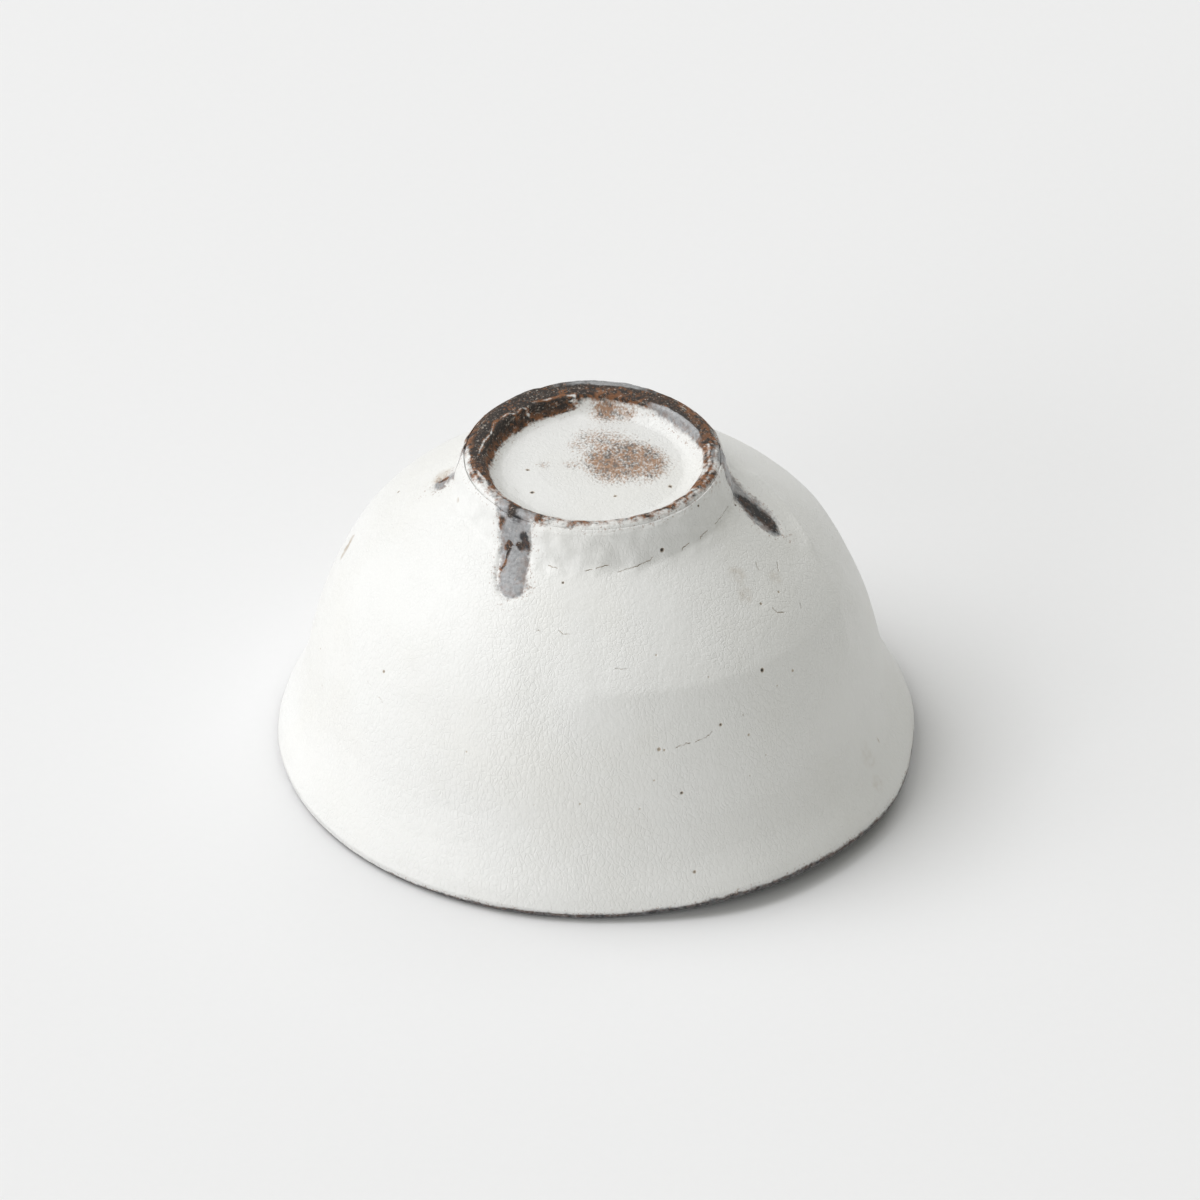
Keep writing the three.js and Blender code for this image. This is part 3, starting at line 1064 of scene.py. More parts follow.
LIP_STATIONS = tuple(
    LipStation(*row)
    for row in (
        (-180.0, 0.5, 1.9, 0.8, 0.95),
        (-160.0, 0.4, 1.2, 0.8, 0.9),
        (-147.0, 0.35, 0.7, 0.75, 0.8),
        (-136.0, 0.4, 0.35, 0.5, 0.8),
        (-124.0, 0.9, 0.3, 0.4, 0.8),
        (-112.0, 0.4, 0.2, 0.9, 0.9),
        (-90.0, 0.15, 0.25, 0.9, 0.9),
        (-63.0, 0.25, 0.4, 0.9, 0.9),
        (-43.0, 0.35, 0.65, 0.85, 0.85),
        (-20.0, 0.45, 0.8, 0.8, 0.85),
        (0.0, 0.6, 0.7, 0.7, 0.8),
        (12.0, 0.7, 1.2, 0.85, 0.6),
        (22.0, 0.9, 1.35, 0.9, 0.15),
        (40.0, 0.9, 1.5, 0.9, 0.05),
        (54.0, 1.2, 1.25, 0.8, 0.25),
        (66.0, 1.7, 1.0, 0.4, 0.85),
        (80.0, 1.7, 0.9, 0.25, 0.9),
        (93.0, 1.7, 0.7, 0.3, 0.9),
        (105.0, 1.5, 2.3, 0.6, 1.0),
        (130.0, 1.3, 2.7, 0.85, 1.0),
        (160.0, 1.1, 2.4, 0.85, 1.0),
    )
)


@dataclass(frozen=True)
class Smudge:
    """A stain on the floor of the well, by azimuth and distance from the axis."""

    azimuth: float
    away: float
    reach: float
    share: float


@dataclass(frozen=True)
class SlipChart:
    """Where slip, bare clay and stains are, all round the cup."""

    marks: tuple[FingerMark, ...]
    rim_edges: Stations = (
        *((-180.0, 0.38), (-150.0, 0.5), (-130.0, 0.7), (-90.0, 1.2)),
        *((-50.0, 1.45), (0.0, 1.1), (90.0, 1.1), (150.0, 0.7)),
    )
    rim_iron: float = 0.25
    rim_dark: float = 0.62
    rim_sharpness: float = 1.8
    smudge_depth: float = 1.12
    smudges: tuple[Smudge, ...] = tuple(
        Smudge(*row)
        for row in (
            (8.0, 4.7, 4.9, 0.86),
            (45.0, 1.7, 2.6, 0.9),
            (-34.0, 2.9, 2.6, 0.8),
            (36.0, 6.4, 2.0, 0.6),
            (20.0, 7.6, 2.0, 0.66),
            (4.0, 8.3, 2.0, 0.66),
            (-12.0, 8.0, 2.0, 0.6),
            (72.0, 6.6, 3.3, 0.5),
            (98.0, 6.4, 2.6, 0.46),
            (180.0, 6.5, 1.2, 0.54),
            (-178.0, 3.0, 1.3, 0.48),
            (124.0, 4.9, 1.1, 0.4),
            (82.0, 13.0, 2.3, 1.0),
            (68.0, 13.0, 1.4, 0.7),
        )
    )
    threads: tuple[Stations, ...] = (
        ((124.0, 14.3), (114.0, 14.0), (108.0, 14.2), (100.0, 13.9)),
        ((161.0, 14.3), (152.0, 14.8), (142.0, 14.5), (137.5, 13.9), (132.0, 14.2), (129.0, 13.6)),
        ((-178.0, 15.2), (168.0, 14.7), (161.0, 14.3)),
        ((176.0, 16.7), (-170.0, 16.6), (-155.0, 16.7), (-140.0, 16.5)),
        ((-165.0, 15.9), (-152.0, 15.6), (-138.0, 15.9)),
        ((-48.0, 16.5), (-30.0, 16.6), (-12.0, 16.5), (6.0, 16.6)),
        ((-24.0, 15.4), (-8.0, 15.8), (8.0, 15.5)),
    )
    thread_reach: float = 0.5
    thread_level: float = 0.02
    lip_iron: float = 0.92
    lip_band: tuple[float, float] = (15.3, 16.3)
    wall_band: tuple[float, float] = (16.4, 17.2)
    # A grey tone on the slip of the foot wall: its share, and the azimuth and span where it lies.
    foot_wall_grey: float = 0.28
    foot_wall_grey_azimuth: float = -38.0
    foot_wall_grey_span: tuple[float, float] = (75.0, 30.0)
    mark_blend: tuple[float, float] = (0.9, -0.3)
    mark_sharpness: float = 0.7
    far_away: float = 9.0

    @staticmethod
    def _round(azimuth: np.ndarray, stations: Stations) -> np.ndarray:
        """A value that changes evenly between stations of azimuth and value."""
        places, values = zip(*stations)
        return np.interp(azimuth, places, values, period=360.0)

    def lip(self, azimuth: np.ndarray, part: str) -> np.ndarray:
        """One value of the lip's stations, all round."""
        stations = tuple((station.azimuth, getattr(station, part)) for station in LIP_STATIONS)
        return self._round(azimuth, stations)

    def paint(self, clay: Clay) -> None:
        """Writes the charts of one piece of the outside."""
        azimuth, radius, height = clay.azimuth, clay.radius, clay.height
        down = CUP.foot_height - height
        bored = np.linalg.norm(on_plan(azimuth, radius) - CUP.bore_shift, axis=1)
        outwards = smooth_step(radius, CUP.bore_radius + 0.3, CUP.foot_radius - 0.4)
        past_bore = smooth_step(bored, CUP.bore_radius + 0.3, CUP.bore_radius + 1.1)
        outer = down - self.lip(azimuth, "outer")
        inner = down + np.maximum(CUP.well_radius + 0.2 - radius, 0.0) - self.lip(azimuth, "inner")
        slip = outwards * outer + (1.0 - outwards) * inner
        iron = self.lip_iron + (self.lip(azimuth, "inner_iron") - self.lip_iron) * (1.0 - past_bore)
        iron = iron + (self.lip(azimuth, "outer_iron") - iron) * smooth_step(radius, *self.lip_band)
        # Greys the slip of the foot wall through the dark chart, fully within 30 degrees of the right front
        # and fading out by 75.
        wall = smooth_step(height, CUP.root_height - 0.3, CUP.root_height + 1.0)
        wall = wall * smooth_step(radius, *self.wall_band)
        turned = np.abs(turn_between(azimuth, self.foot_wall_grey_azimuth))
        dark = self.foot_wall_grey * wall * smooth_step(turned, *self.foot_wall_grey_span)
        for mark in self.marks:
            away = np.where(radius > CUP.bore_radius + 1.3, mark.outside_edge(clay), self.far_away)
            inside = smooth_step(away, *self.mark_blend) * smooth_step(slip, -0.9, 0.5)
            iron = iron + (mark.share(mark.burnt, clay) - iron) * inside
            dark = dark + (mark.share(mark.pooled, clay) - dark) * inside
            slip = np.minimum(slip, away * self.mark_sharpness)
        rim = height - self._round(azimuth, self.rim_edges) - CUP.rim_rise(azimuth)
        near_rim = smooth_step(height, CUP.waist[1], 2.0)
        iron += (self.rim_iron - iron) * near_rim
        dark += np.where(rim < 0.3, self.rim_dark - dark, 0.0) * near_rim
        slip = np.minimum(slip, rim * self.rim_sharpness)
        slip += (self.thread_level - slip).clip(0.0) * self._thread(clay)
        clay.paint(Chart.SLIP, np.clip(slip, *CHART_RANGE))
        clay.paint(Chart.IRON, iron)
        clay.paint(Chart.DARK, dark)
        clay.paint(Chart.STAIN, np.where(height > CUP.root_height, self._smudged(clay), 0.0))

    def _thread(self, clay: Clay) -> np.ndarray:
        """Share of the pale threads that the cracked slip leaves along the bore's edge."""
        flat = on_plan(clay.azimuth, clay.radius)
        share = np.zeros(len(flat))
        high = clay.height > CUP.arris_height - 1.6
        for thread in self.threads:
            away = distance_to_line(flat[high], on_plan(*np.array(thread).T))
            share[high] = np.maximum(share[high], smooth_step(away, self.thread_reach, 0.05))
        return share

    def _smudged(self, clay: Clay) -> np.ndarray:
        """Share of stain on the floor of the well."""
        flat = on_plan(clay.azimuth, clay.radius)
        clean = np.ones(len(flat))
        for smudge in self.smudges:
            away = np.linalg.norm(flat - on_plan(smudge.azimuth, smudge.away), axis=1)
            clean *= 1.0 - smudge.share * np.exp(-((away / smudge.reach) ** 2))
        return self.smudge_depth * (1.0 - clean)


@dataclass(frozen=True)
class Pinhole:
    """A speck, a pinhole, or a stain with next to no depth."""

    azimuth: float
    height: float
    reach: float = 0.3
    depth: float = 0.1
    shade: float = 0.9


@dataclass(frozen=True)
class Crack:
    """A hairline crack or a nick, through stations of azimuth and height, and how dark it is."""

    stations: Stations
    shade: float = 0.8


@dataclass(frozen=True)
class Crest:
    """A soft ridge that the hand left on the outside, or a valley for a rise below 0."""

    stations: Stations
    rise: float
    reach: float
    rounding: float = 0.5


@dataclass
class OuterCoat:
    """The coat that one dip leaves on the foot's wall and the bowl's outside."""

    chart: SlipChart
    segments: int = 352
    root_fillet: float = 0.55
    foot_rows: float = 0.19
    shoulder_rows: float = 0.39
    side_rows: float = 0.54
    taper: float = 2.4
    swell: tuple[float, float, float] = (0.1, 6.0, 2.0)
    lumps: float = 0.24
    lump_size: float = 2.0
    crests: tuple[Crest, ...] = (
        Crest(
            (
                *((-91.0, 29.4), (-79.0, 29.3), (-64.6, 28.8), (-48.7, 28.4)),
                *((-36.0, 28.1), (-20.0, 27.9), (-5.0, 28.3)),
            ),
            *(0.46, 3.0, 0.2),
        ),
        Crest(((-114.6, 36.5), (-110.9, 33.1), (-108.5, 29.2)), 0.15, 2.6),
        Crest(((-89.0, 35.0), (-89.2, 32.4), (-89.2, 30.5)), -0.1, 2.2),
        Crest(((-160.0, 25.0), (-137.0, 23.9), (-123.0, 26.9), (-112.0, 28.0)), 0.16, 2.6, 0.3),
        Crest(((12.7, 38.6), (4.0, 36.4), (-3.3, 34.2), (-6.7, 33.4)), 0.42, 0.7),
        Crest(((-5.0, 34.6), (-11.5, 31.5), (-16.5, 27.3), (-19.5, 23.0)), 0.3, 1.8, 0.3),
        Crest(((-112.0, 41.0), (-80.0, 41.1), (-50.0, 41.3), (-20.0, 41.2), (-2.0, 41.2)), 0.2, 0.8),
        Crest(((20.0, 29.0), (60.0, 28.0), (100.0, 28.6), (140.0, 27.0)), 0.18, 3.2),
        Crest(((-80.0, 40.25), (-55.0, 40.35), (-28.0, 40.5), (-10.0, 40.5)), -0.2, 0.45, 0.2),
        Crest(tuple((turn, 9.5) for turn in (-180.0, -120.0, -60.0, 0.0, 90.0, 180.0)), -0.26, 3.2, 1.5),
    )
    pinholes: tuple[Pinhole, ...] = tuple(
        Pinhole(*row)
        for row in (
            (-48.5, 28.1, 0.42, 0.15),
            (-40.3, 26.1, 0.28, 0.08, 0.55),
            (-61.9, 23.75, 0.3, 0.1, 0.8),
            (-76.3, 22.4, 0.36, 0.1, 0.6),
            (-75.2, 22.2, 0.22, 0.1, 0.6),
            (-55.9, 21.3, 0.28, 0.06, 0.5),
            (-72.4, 16.2, 0.32, 0.1, 0.8),
            (-79.9, 11.4, 0.34, 0.04, 0.42),
            (-71.7, 5.6, 0.34, 0.1, 0.75),
            (-143.2, 25.0, 0.3, 0.1, 0.7),
            (-20.0, 8.4, 0.32, 0.08, 0.5),
            (-38.6, 33.7, 0.28, 0.1, 0.7),
            (-100.8, 39.2, 0.24, 0.1, 0.85),
            (-60.4, 41.3, 0.42, 0.2),
            (-37.2, 44.6, 0.25, 0.1),
            (-11.7, 40.2, 0.25, 0.1),
            (-30.9, 33.5, 0.24, 0.08, 0.6),
            (170.0, 39.6, 2.4, 0.0, 0.26),
            (-166.5, 41.2, 0.7, 0.0, 0.34),
            (-38.8, 36.8, 2.4, 0.0, 0.18),
            (-41.3, 35.1, 2.2, 0.0, 0.18),
            (-28.0, 34.6, 1.8, 0.0, 0.17),
            (-25.6, 8.4, 2.4, 0.0, 0.17),
            (-27.7, 5.2, 2.0, 0.0, 0.16),
            (172.0, 28.6, 1.2, 0.03, 0.42),
            (173.4, 27.9, 1.4, 0.03, 0.5),
            (174.4, 27.0, 1.1, 0.03, 0.38),
        )
    )
    faint_specks: Stations = (
        *((-77.9, 18.5), (-62.3, 29.5), (-73.7, 32.8), (-56.2, 24.0), (-52.8, 17.9)),
        *((-57.3, 16.0), (-45.8, 25.5), (-64.7, 11.3), (-97.4, 7.9), (-93.0, 15.7)),
        *((-102.2, 15.1), (-81.1, 14.8), (-110.1, 8.0), (-130.4, 9.45), (-117.5, 20.3)),
    )
    faint_size: tuple[float, float, float] = (0.22, 0.05, 0.35)
    cracks: tuple[Crack, ...] = (
        Crack(((-72.6, 22.3), (-70.8, 22.45), (-69.2, 22.5))),
        Crack(((-68.0, 22.5), (-65.7, 22.7), (-64.1, 23.2))),
        Crack(((-107.5, 40.3), (-104.0, 40.2)), 0.6),
        Crack(((-93.0, 40.2), (-88.0, 40.4), (-83.0, 40.7)), 0.72),
        Crack(((-80.0, 40.1), (-72.0, 40.3), (-65.0, 40.6)), 0.72),
        Crack(((-51.7, 40.5), (-47.3, 40.8))),
        Crack(((-41.0, 40.6), (-36.0, 40.9)), 0.66),
        Crack(((-30.0, 40.8), (-22.0, 40.9), (-16.0, 40.8)), 0.55),
        Crack(((-106.3, 35.1), (-104.9, 35.0)), 0.35),
        Crack(((-99.8, 35.3), (-98.4, 35.0), (-96.8, 35.05)), 0.4),
        Crack(((-84.5, 32.0), (-82.8, 31.85), (-81.6, 31.85)), 0.38),
        Crack(((-29.6, 36.6), (-30.8, 35.9)), 0.85),
        Crack(((-22.7, 35.2), (-24.2, 34.9), (-25.4, 34.7)), 0.75),
        Crack(((-36.3, 32.8), (-35.7, 32.2), (-34.6, 31.9), (-33.8, 31.8)), 0.7),
        Crack(((-27.5, 31.4), (-28.3, 30.8)), 0.85),
        Crack(((-147.2, 22.4), (-145.6, 22.2)), 0.35),
        Crack(((-142.2, 21.7), (-141.0, 21.5)), 0.4),
    )
    hollow_edge: tuple[float, float] = (0.45, -0.3)
    crack_apart: float = 0.8
    crack_jitter: float = 0.05
    crack_shades: tuple[float, float] = (0.45, 1.1)
    crack_margin: float = 0.5
    crack_step: float = 0.3
    hole_margin: float = 0.35
    refining_cuts: int = 4
    hidden_specks: int = 26
    hidden_depth: float = 0.08
    hidden_spans: Stations = ((10.0, 200.0), (4.0, 38.0), (0.2, 0.36), (0.3, 0.85))
    seed: int = 11
    swell_seed: float = 3.0
    line: np.ndarray = field(init=False, repr=False)

    def __post_init__(self) -> None:
        """Draws the line of the coat's outside, from the rim up to the foot's lip."""
        at = np.linspace(CUP.rim_knot, CUP.root_knot, 600)
        along = path_lengths(CUP.outside().points(at))
        proud = np.interp(along, (0.0, self.taper), (CUP.coat_edge, CUP.coat))
        bowl = CUP.outside().points(at, proud)
        heights = np.linspace(CUP.root_height, CUP.arris_height - 0.1, 200)
        wall = CUP.foot_wall(heights, CUP.coat)
        wall[:, 0] -= np.interp(heights, (heights[-1] - 0.6, heights[-1]), (0.0, CUP.coat - CUP.coat_edge))
        corner = np.array([wall[0, 0] - 0.05, np.interp(-wall[0, 0], -bowl[:, 0], bowl[:, 1])])
        below = bowl[np.linalg.norm(bowl - corner, axis=1) > self.root_fillet]
        below = below[below[:, 0] > corner[0]]
        above = wall[wall[:, 1] > corner[1] + self.root_fillet]
        self.line = np.vstack((below, bent_line(below[-1], corner, above[0], 12)[1:-1], above))

    def spacing(self, points: np.ndarray) -> np.ndarray:
        """Distance between rows: fine on the foot, coarser down the side."""
        return np.interp(
            points[:, 1],
            (CUP.ridge[1], CUP.shoulder[1], CUP.root_height - 0.5, CUP.root_height),
            (self.side_rows, self.shoulder_rows, self.shoulder_rows, self.foot_rows),
        )

    def on_surface(self, azimuth: float, height: float) -> np.ndarray:
        """The place on the coat at an azimuth and a height."""
        radius = np.interp(height, self.line[:, 1], self.line[:, 0])
        return CUP.leant(np.array([[*on_plan(azimuth, radius), height]]))[0]

    def build(self, wheel: Wheel, material: bpy.types.Material) -> Clay:
        """Turns the coat and works it by hand, without its hollows and blemishes yet."""
        skin_line = resampled(self.line, self.spacing)
        at = np.linspace(CUP.root_knot, CUP.rim_knot, 12)
        back = np.vstack(
            (
                CUP.foot_wall(np.linspace(CUP.arris_height - 0.1, CUP.root_height + 0.2, 5), CUP.bond),
                CUP.outside().points(at, CUP.bond)[1:],
            )
        )
        outline, skin = joined((skin_line, 1.0), (back, 0.0), (skin_line[:1], 1.0))
        coat = wheel.throw(
            "outer_slip_coat", outline, skin, material, self.segments, self.swell, self.swell_seed
        )
        high = np.flatnonzero((coat.height > CUP.root_height - 0.6) & (coat.skin() > 0.5))
        lumps = np.zeros(len(coat.places))
        lumps[high] = [
            self.lumps * noise.noise(Vector(place) / self.lump_size) for place in coat.places[high]
        ]
        coat.press(lumps * smooth_step(coat.height, CUP.arris_height - 0.1, CUP.arris_height - 0.8))
        for crest in self.crests:
            line = np.array([self.on_surface(*station) for station in self._drawn(crest.stations)])
            away = distance_to_line(coat.places, line)
            away = np.hypot(away, crest.rounding) - crest.rounding
            coat.press(-crest.rise * np.exp(-away / crest.reach) * coat.skin())
        CUP.pull_foot(coat)
        CUP.warp_rim(coat)
        return coat

    @staticmethod
    def _drawn(stations: Stations, apart: float = 2.0) -> list[tuple[float, float]]:
        """Stations of azimuth and height, drawn finer, about so many degrees apart."""
        azimuths, heights = np.array(stations).T
        steps = np.arange(len(stations))
        finer = np.linspace(0.0, steps[-1], int(np.abs(np.diff(azimuths)).sum() / apart) + len(stations))
        return list(zip(np.interp(finer, steps, azimuths), np.interp(finer, steps, heights)))

    def dress(self, coat: Clay, blemisher: Blemisher, material: bpy.types.Material) -> bpy.types.Object:
        """Presses the hollows of the finger marks, sinks the blemishes and settles the piece.

        Args:
            coat: the turned coat.
            blemisher: sinks pinholes and cracks.
            material: the fired surface.

        Returns:
            The piece.
        """
        skin = coat.skin()
        for mark in self.chart.marks:
            coat.press(mark.sunk * smooth_step(mark.outside_edge(coat), *self.hollow_edge) * skin)
        rng = np.random.default_rng(self.seed)
        draws = [rng.uniform(low, high, self.hidden_specks) for low, high in self.hidden_spans]
        unseen = [
            Pinhole(azimuth, height, reach, self.hidden_depth, shade)
            for azimuth, height, reach, shade in zip(*draws)
        ]
        faint = [Pinhole(*station, *self.faint_size) for station in self.faint_specks]
        holes = np.array(
            [
                (*self.on_surface(hole.azimuth, hole.height), hole.reach, hole.depth, hole.shade)
                for hole in [*self.pinholes, *faint, *unseen]
            ]
        )
        cracks = []
        for crack in self.cracks:
            drawn = self._drawn(crack.stations, self.crack_apart)
            line = np.array([self.on_surface(*station) for station in drawn])
            line += rng.normal(0.0, self.crack_jitter, line.shape)
            shades = crack.shade * rng.uniform(*self.crack_shades, len(line))
            cracks.append(np.column_stack((line, shades)))
        self._refine(coat, holes, cracks)
        coat = blemisher.sink(coat, "outer_slip_coat", holes, cracks, material)
        self.chart.paint(coat)
        return settle("outer_slip_coat", coat.mesh)

    def _refine(self, coat: Clay, holes: np.ndarray, cracks: list[np.ndarray]) -> None:
        """Cuts the faces near pinholes and cracks into small ones, but not those under flat stains."""
        spots = [(hole[:3], hole[3] + self.hole_margin) for hole in holes if hole[4] > FLAT_STAIN]
        for crack in cracks:
            for start, end in zip(crack[:-1, :3], crack[1:, :3]):
                steps = int(np.linalg.norm(end - start) / self.crack_step) + 2
                spots += [(place, self.crack_margin) for place in np.linspace(start, end, steps)]
        near = np.zeros(len(coat.places), bool)
        for centre, reach in spots:
            near |= np.linalg.norm(coat.places - centre, axis=1) < reach
        near &= coat.skin() > 0.5
        work = bmesh.new()
        work.from_mesh(coat.mesh)
        work.verts.ensure_lookup_table()
        edges = {
            edge for face in work.faces if any(near[vert.index] for vert in face.verts) for edge in face.edges
        }
        bmesh.ops.subdivide_edges(work, edges=list(edges), cuts=self.refining_cuts, use_grid_fill=True)
        work.to_mesh(coat.mesh)
        work.free()
        coat.refresh()


@dataclass
class FootRing:
    """The clay ring luted onto the bowl, with a worn, uneven lip and a bore turned off centre."""

    chart: SlipChart
    segments: int = 640
    rows: float = 0.13
    toe_radius: float = 11.0
    toe_sink: float = 0.07
    swell: tuple[float, float, float] = (0.24, 2.4, 4.0)
    seed: float = 5.0
    hidden_rows: float = 0.6
    lip_dip: float = 0.4
    lip_waves: Spots = ((0.5, 2.0, 0.4), (0.35, 3.0, 2.0), (0.3, 7.0, 0.0), (0.2, 11.0, 0.0))
    high_side: tuple[float, float, float] = (100.0, 50.0, 1.1)

    def build(self, wheel: Wheel, material: bpy.types.Material) -> bpy.types.Object:
        """Turns the ring, shifts its bore, wears its lip and settles the piece."""
        crest = (CUP.bore_radius + CUP.foot_radius) / 2 + 0.1
        wall = CUP.foot_wall(np.linspace(CUP.root_height + 0.2, CUP.arris_height - 0.3, 30), 0.0)
        outer = np.array([CUP.foot_radius, CUP.foot_height])
        inner = np.array([CUP.bore_radius, CUP.foot_height])
        top = np.array([crest, CUP.foot_height])
        bore_top = np.array([CUP.bore_radius, CUP.arris_height - 0.2])
        over = np.vstack((bent_line(wall[-1], outer, top, 24)[1:], bent_line(top, inner, bore_top, 24)[1:]))
        at = np.array([self.toe_radius, self.toe_radius + 0.2]) / CUP.well_radius
        toe, beyond = CUP.outside().points(at, CUP.well_coat - self.toe_sink)
        corner = toe + (beyond - toe) * (CUP.well_radius + 0.2 - toe[0]) / (beyond[0] - toe[0])
        bore = bent_line(bore_top, corner, toe, 60)[1:]
        show = resampled(np.vstack((wall[-1:], over, bore)), self.rows)
        seat = CUP.outside().points(np.linspace(0.9, CUP.root_knot, 6), CUP.bond)
        hidden = resampled(wall, self.hidden_rows)
        outline, skin = joined((hidden[:-1], 0.0), (show, 1.0), (seat, 0.0), (hidden[:1], 0.0))
        ring = wheel.throw("foot_ring", outline, skin, material, self.segments, self.swell, self.seed)
        self._shift_bore(ring)
        self._wear(ring)
        CUP.pull_foot(ring)
        self.chart.paint(ring)
        ring.paint(Chart.PIT, 0.0)
        return settle("foot_ring", ring.mesh)

    @staticmethod
    def _shift_bore(ring: Clay) -> None:
        """Moves the bore off centre, the more the nearer to the lip."""
        inwards = smooth_step(ring.radius, CUP.foot_radius - 0.3, CUP.bore_radius + 0.2)
        foot = CUP.crown_height - CUP.well_edge_drop
        share = np.clip((ring.height - foot) / (CUP.foot_height - foot), 0.0, 1.0) * inwards
        ring.move(CUP.bore_shift[0] * share, CUP.bore_shift[1] * share)

    def _wear(self, ring: Clay) -> None:
        """Lowers the lip unevenly all round, never above the foot's own height."""
        turn = np.radians(ring.azimuth)
        waves = sum(height * np.sin(count * turn + start) for height, count, start in self.lip_waves)
        azimuth, reach, height = self.high_side
        waves -= height * np.exp(-((turn_between(ring.azimuth, azimuth) / reach) ** 2))
        dip = self.lip_dip * np.maximum(0.5 + 0.37 * waves, 0.0)
        dip *= smooth_step(ring.height, CUP.arris_height - 1.5, CUP.foot_height)
        over = np.maximum(ring.height - dip - CUP.foot_height, 0.0)
        ring.move(up=-dip - over)


@dataclass
class WellCoat:
    """The coat on the floor of the well inside the foot."""

    chart: SlipChart
    segments: int = 256
    rows: float = 0.24
    edge: float = 12.6
    swell: tuple[float, float, float] = (0.07, 3.0, 3.0)
    scrape: float = 0.005
    boss: tuple[float, float] = (4.6, 1.0)
    boss_reach: float = 5.4
    boss_rise: float = 0.16
    specks: Spots = ((-8.5, -6.1, 0.4), (-9.1, -1.0, 0.3), (9.8, -4.5, 0.42), (2.5, -7.2, 0.3))
    seed: float = 7.0

    def build(self, wheel: Wheel, material: bpy.types.Material) -> bpy.types.Object:
        """Turns the floor and settles the piece."""
        at = np.linspace(self.edge / CUP.well_radius, 0.0, 120)
        top = CUP.outside().points(at, CUP.well_coat)
        top[-1, 0] = 0.0
        top[:, 1] += self.scrape * (np.sin(top[:, 0] * 4.4) + np.sin(top[:, 0] * 2.7 + 1.0))
        under = CUP.outside().points(np.linspace(0.0, at[0], 12), CUP.bond)
        under[0, 0] = 0.0
        outline, skin = joined((under, 0.0), (resampled(top, self.rows), 1.0))
        floor = wheel.throw("well_slip_coat", outline, skin, material, self.segments, self.swell, self.seed)
        away = np.linalg.norm(floor.places[:, :2] - self.boss, axis=1)
        raised = self.boss_rise * smooth_step(away, self.boss_reach, self.boss_reach * 0.7)
        floor.press(-raised * floor.skin())
        self.chart.paint(floor)
        specks = np.zeros(len(floor.places))
        for across, along, reach in self.specks:
            away = np.linalg.norm(floor.places[:, :2] - (across, along), axis=1)
            specks = np.maximum(specks, smooth_step(away, reach, 0.1))
        floor.paint(Chart.PIT, specks)
        return settle("well_slip_coat", floor.mesh)


@dataclass
class ThrownBowl:
    """The clay of the bowl, which shows at its lip, and the coat inside it."""

    chart: SlipChart
    segments: int = 360
    lip_rows: float = 0.16
    lip_swell: tuple[float, float, float] = (0.05, 1.4, 4.0)
    lip_seed: float = 9.0
    inner_segments: int = 240
    inner_rows: float = 0.8
    inner_hidden_rows: float = 4.0
    inner_swell: tuple[float, float, float] = (0.08, 8.0, 2.0)
    inner_seed: float = 11.0
    inner_taper: float = 2.4
    inner_slip_edge: float = 0.9

    def build_clay(self, wheel: Wheel, material: bpy.types.Material) -> bpy.types.Object:
        """Turns the clay, with its rounded lip and flat land, and settles the piece."""
        outside = CUP.outside().points(np.linspace(CUP.rim_knot, 0.0, 60))
        outside[-1, 0] = 0.0
        inside = CUP.inside().points(np.linspace(0.0, CUP.rim_knot, 60))
        inside[0, 0] = 0.0
        outer_round = self._round(CUP.rim_radius - CUP.lip_round, -0.5, 0.0)
        inner_round = self._round(CUP.rim_radius - CUP.rim_wall + CUP.lip_round, -1.0, -0.5)
        lip = resampled(np.vstack((inner_round, outer_round)), self.lip_rows)
        outline, skin = joined((inside[:-1], 0.0), (lip, 1.0), (outside[1:], 0.0))
        bowl = wheel.throw("bowl", outline, skin, material, self.segments, self.lip_swell, self.lip_seed)
        bowl.move(up=np.maximum(-bowl.places[:, 2], 0.0))
        CUP.warp_rim(bowl)
        self.chart.paint(bowl)
        bowl.paint(Chart.PIT, 0.0)
        return settle("bowl", bowl.mesh)

    @staticmethod
    def _round(centre: float, start: float, end: float) -> np.ndarray:
        """A quarter of the lip's round about a centre radius, between two angles in half turns."""
        turn = np.linspace(start, end, 16) * math.pi
        return np.column_stack((centre + CUP.lip_round * np.cos(turn), CUP.lip_round * (1.0 + np.sin(turn))))

    def build_coat(self, wheel: Wheel, material: bpy.types.Material) -> bpy.types.Object:
        """Turns the coat inside the bowl and settles the piece."""
        at = np.linspace(0.0, CUP.rim_knot, 200)
        clay_side = CUP.inside().points(at, -CUP.bond)
        clay_side[0, 0] = 0.0
        along = path_lengths(clay_side)
        proud = np.interp(along[-1] - along, (0.0, self.inner_taper), (CUP.coat_edge, CUP.coat))
        glaze_side = CUP.inside().points(at, -proud)
        glaze_side[0, 0] = 0.0
        hidden = resampled(clay_side, self.inner_hidden_rows)[::-1]
        outline, skin = joined((resampled(glaze_side, self.inner_rows), 1.0), (hidden, 0.0))
        coat = wheel.throw(
            "inner_slip_coat", outline, skin, material, self.inner_segments, self.inner_swell, self.inner_seed
        )
        CUP.warp_rim(coat)
        coat.paint(Chart.SLIP, np.clip(coat.height - self.inner_slip_edge, *CHART_RANGE))
        for chart in (Chart.IRON, Chart.DARK, Chart.STAIN, Chart.PIT):
            coat.paint(chart, 0.0)
        return settle("inner_slip_coat", coat.mesh)


@dataclass(frozen=True)
class PaleFloor:
    """The pale matt board under the cup."""

    colour: Colour = (0.845, 0.845, 0.848)
    shade: Colour = (0.828, 0.828, 0.831)
    roughness: float = 0.9
    gloss: float = 0.1

    def material(self) -> bpy.types.Material:
        """Builds the board's material."""
        material, bench = new_material("pale_floor")
        tooth = bench.noise(bench.place_in_mm(), 0.8, 3.0)
        colour = bench.mix(tooth, self.colour, self.shade)
        bench.surface({"Base Color": colour, "Roughness": self.roughness, "Specular IOR Level": self.gloss})
        return material


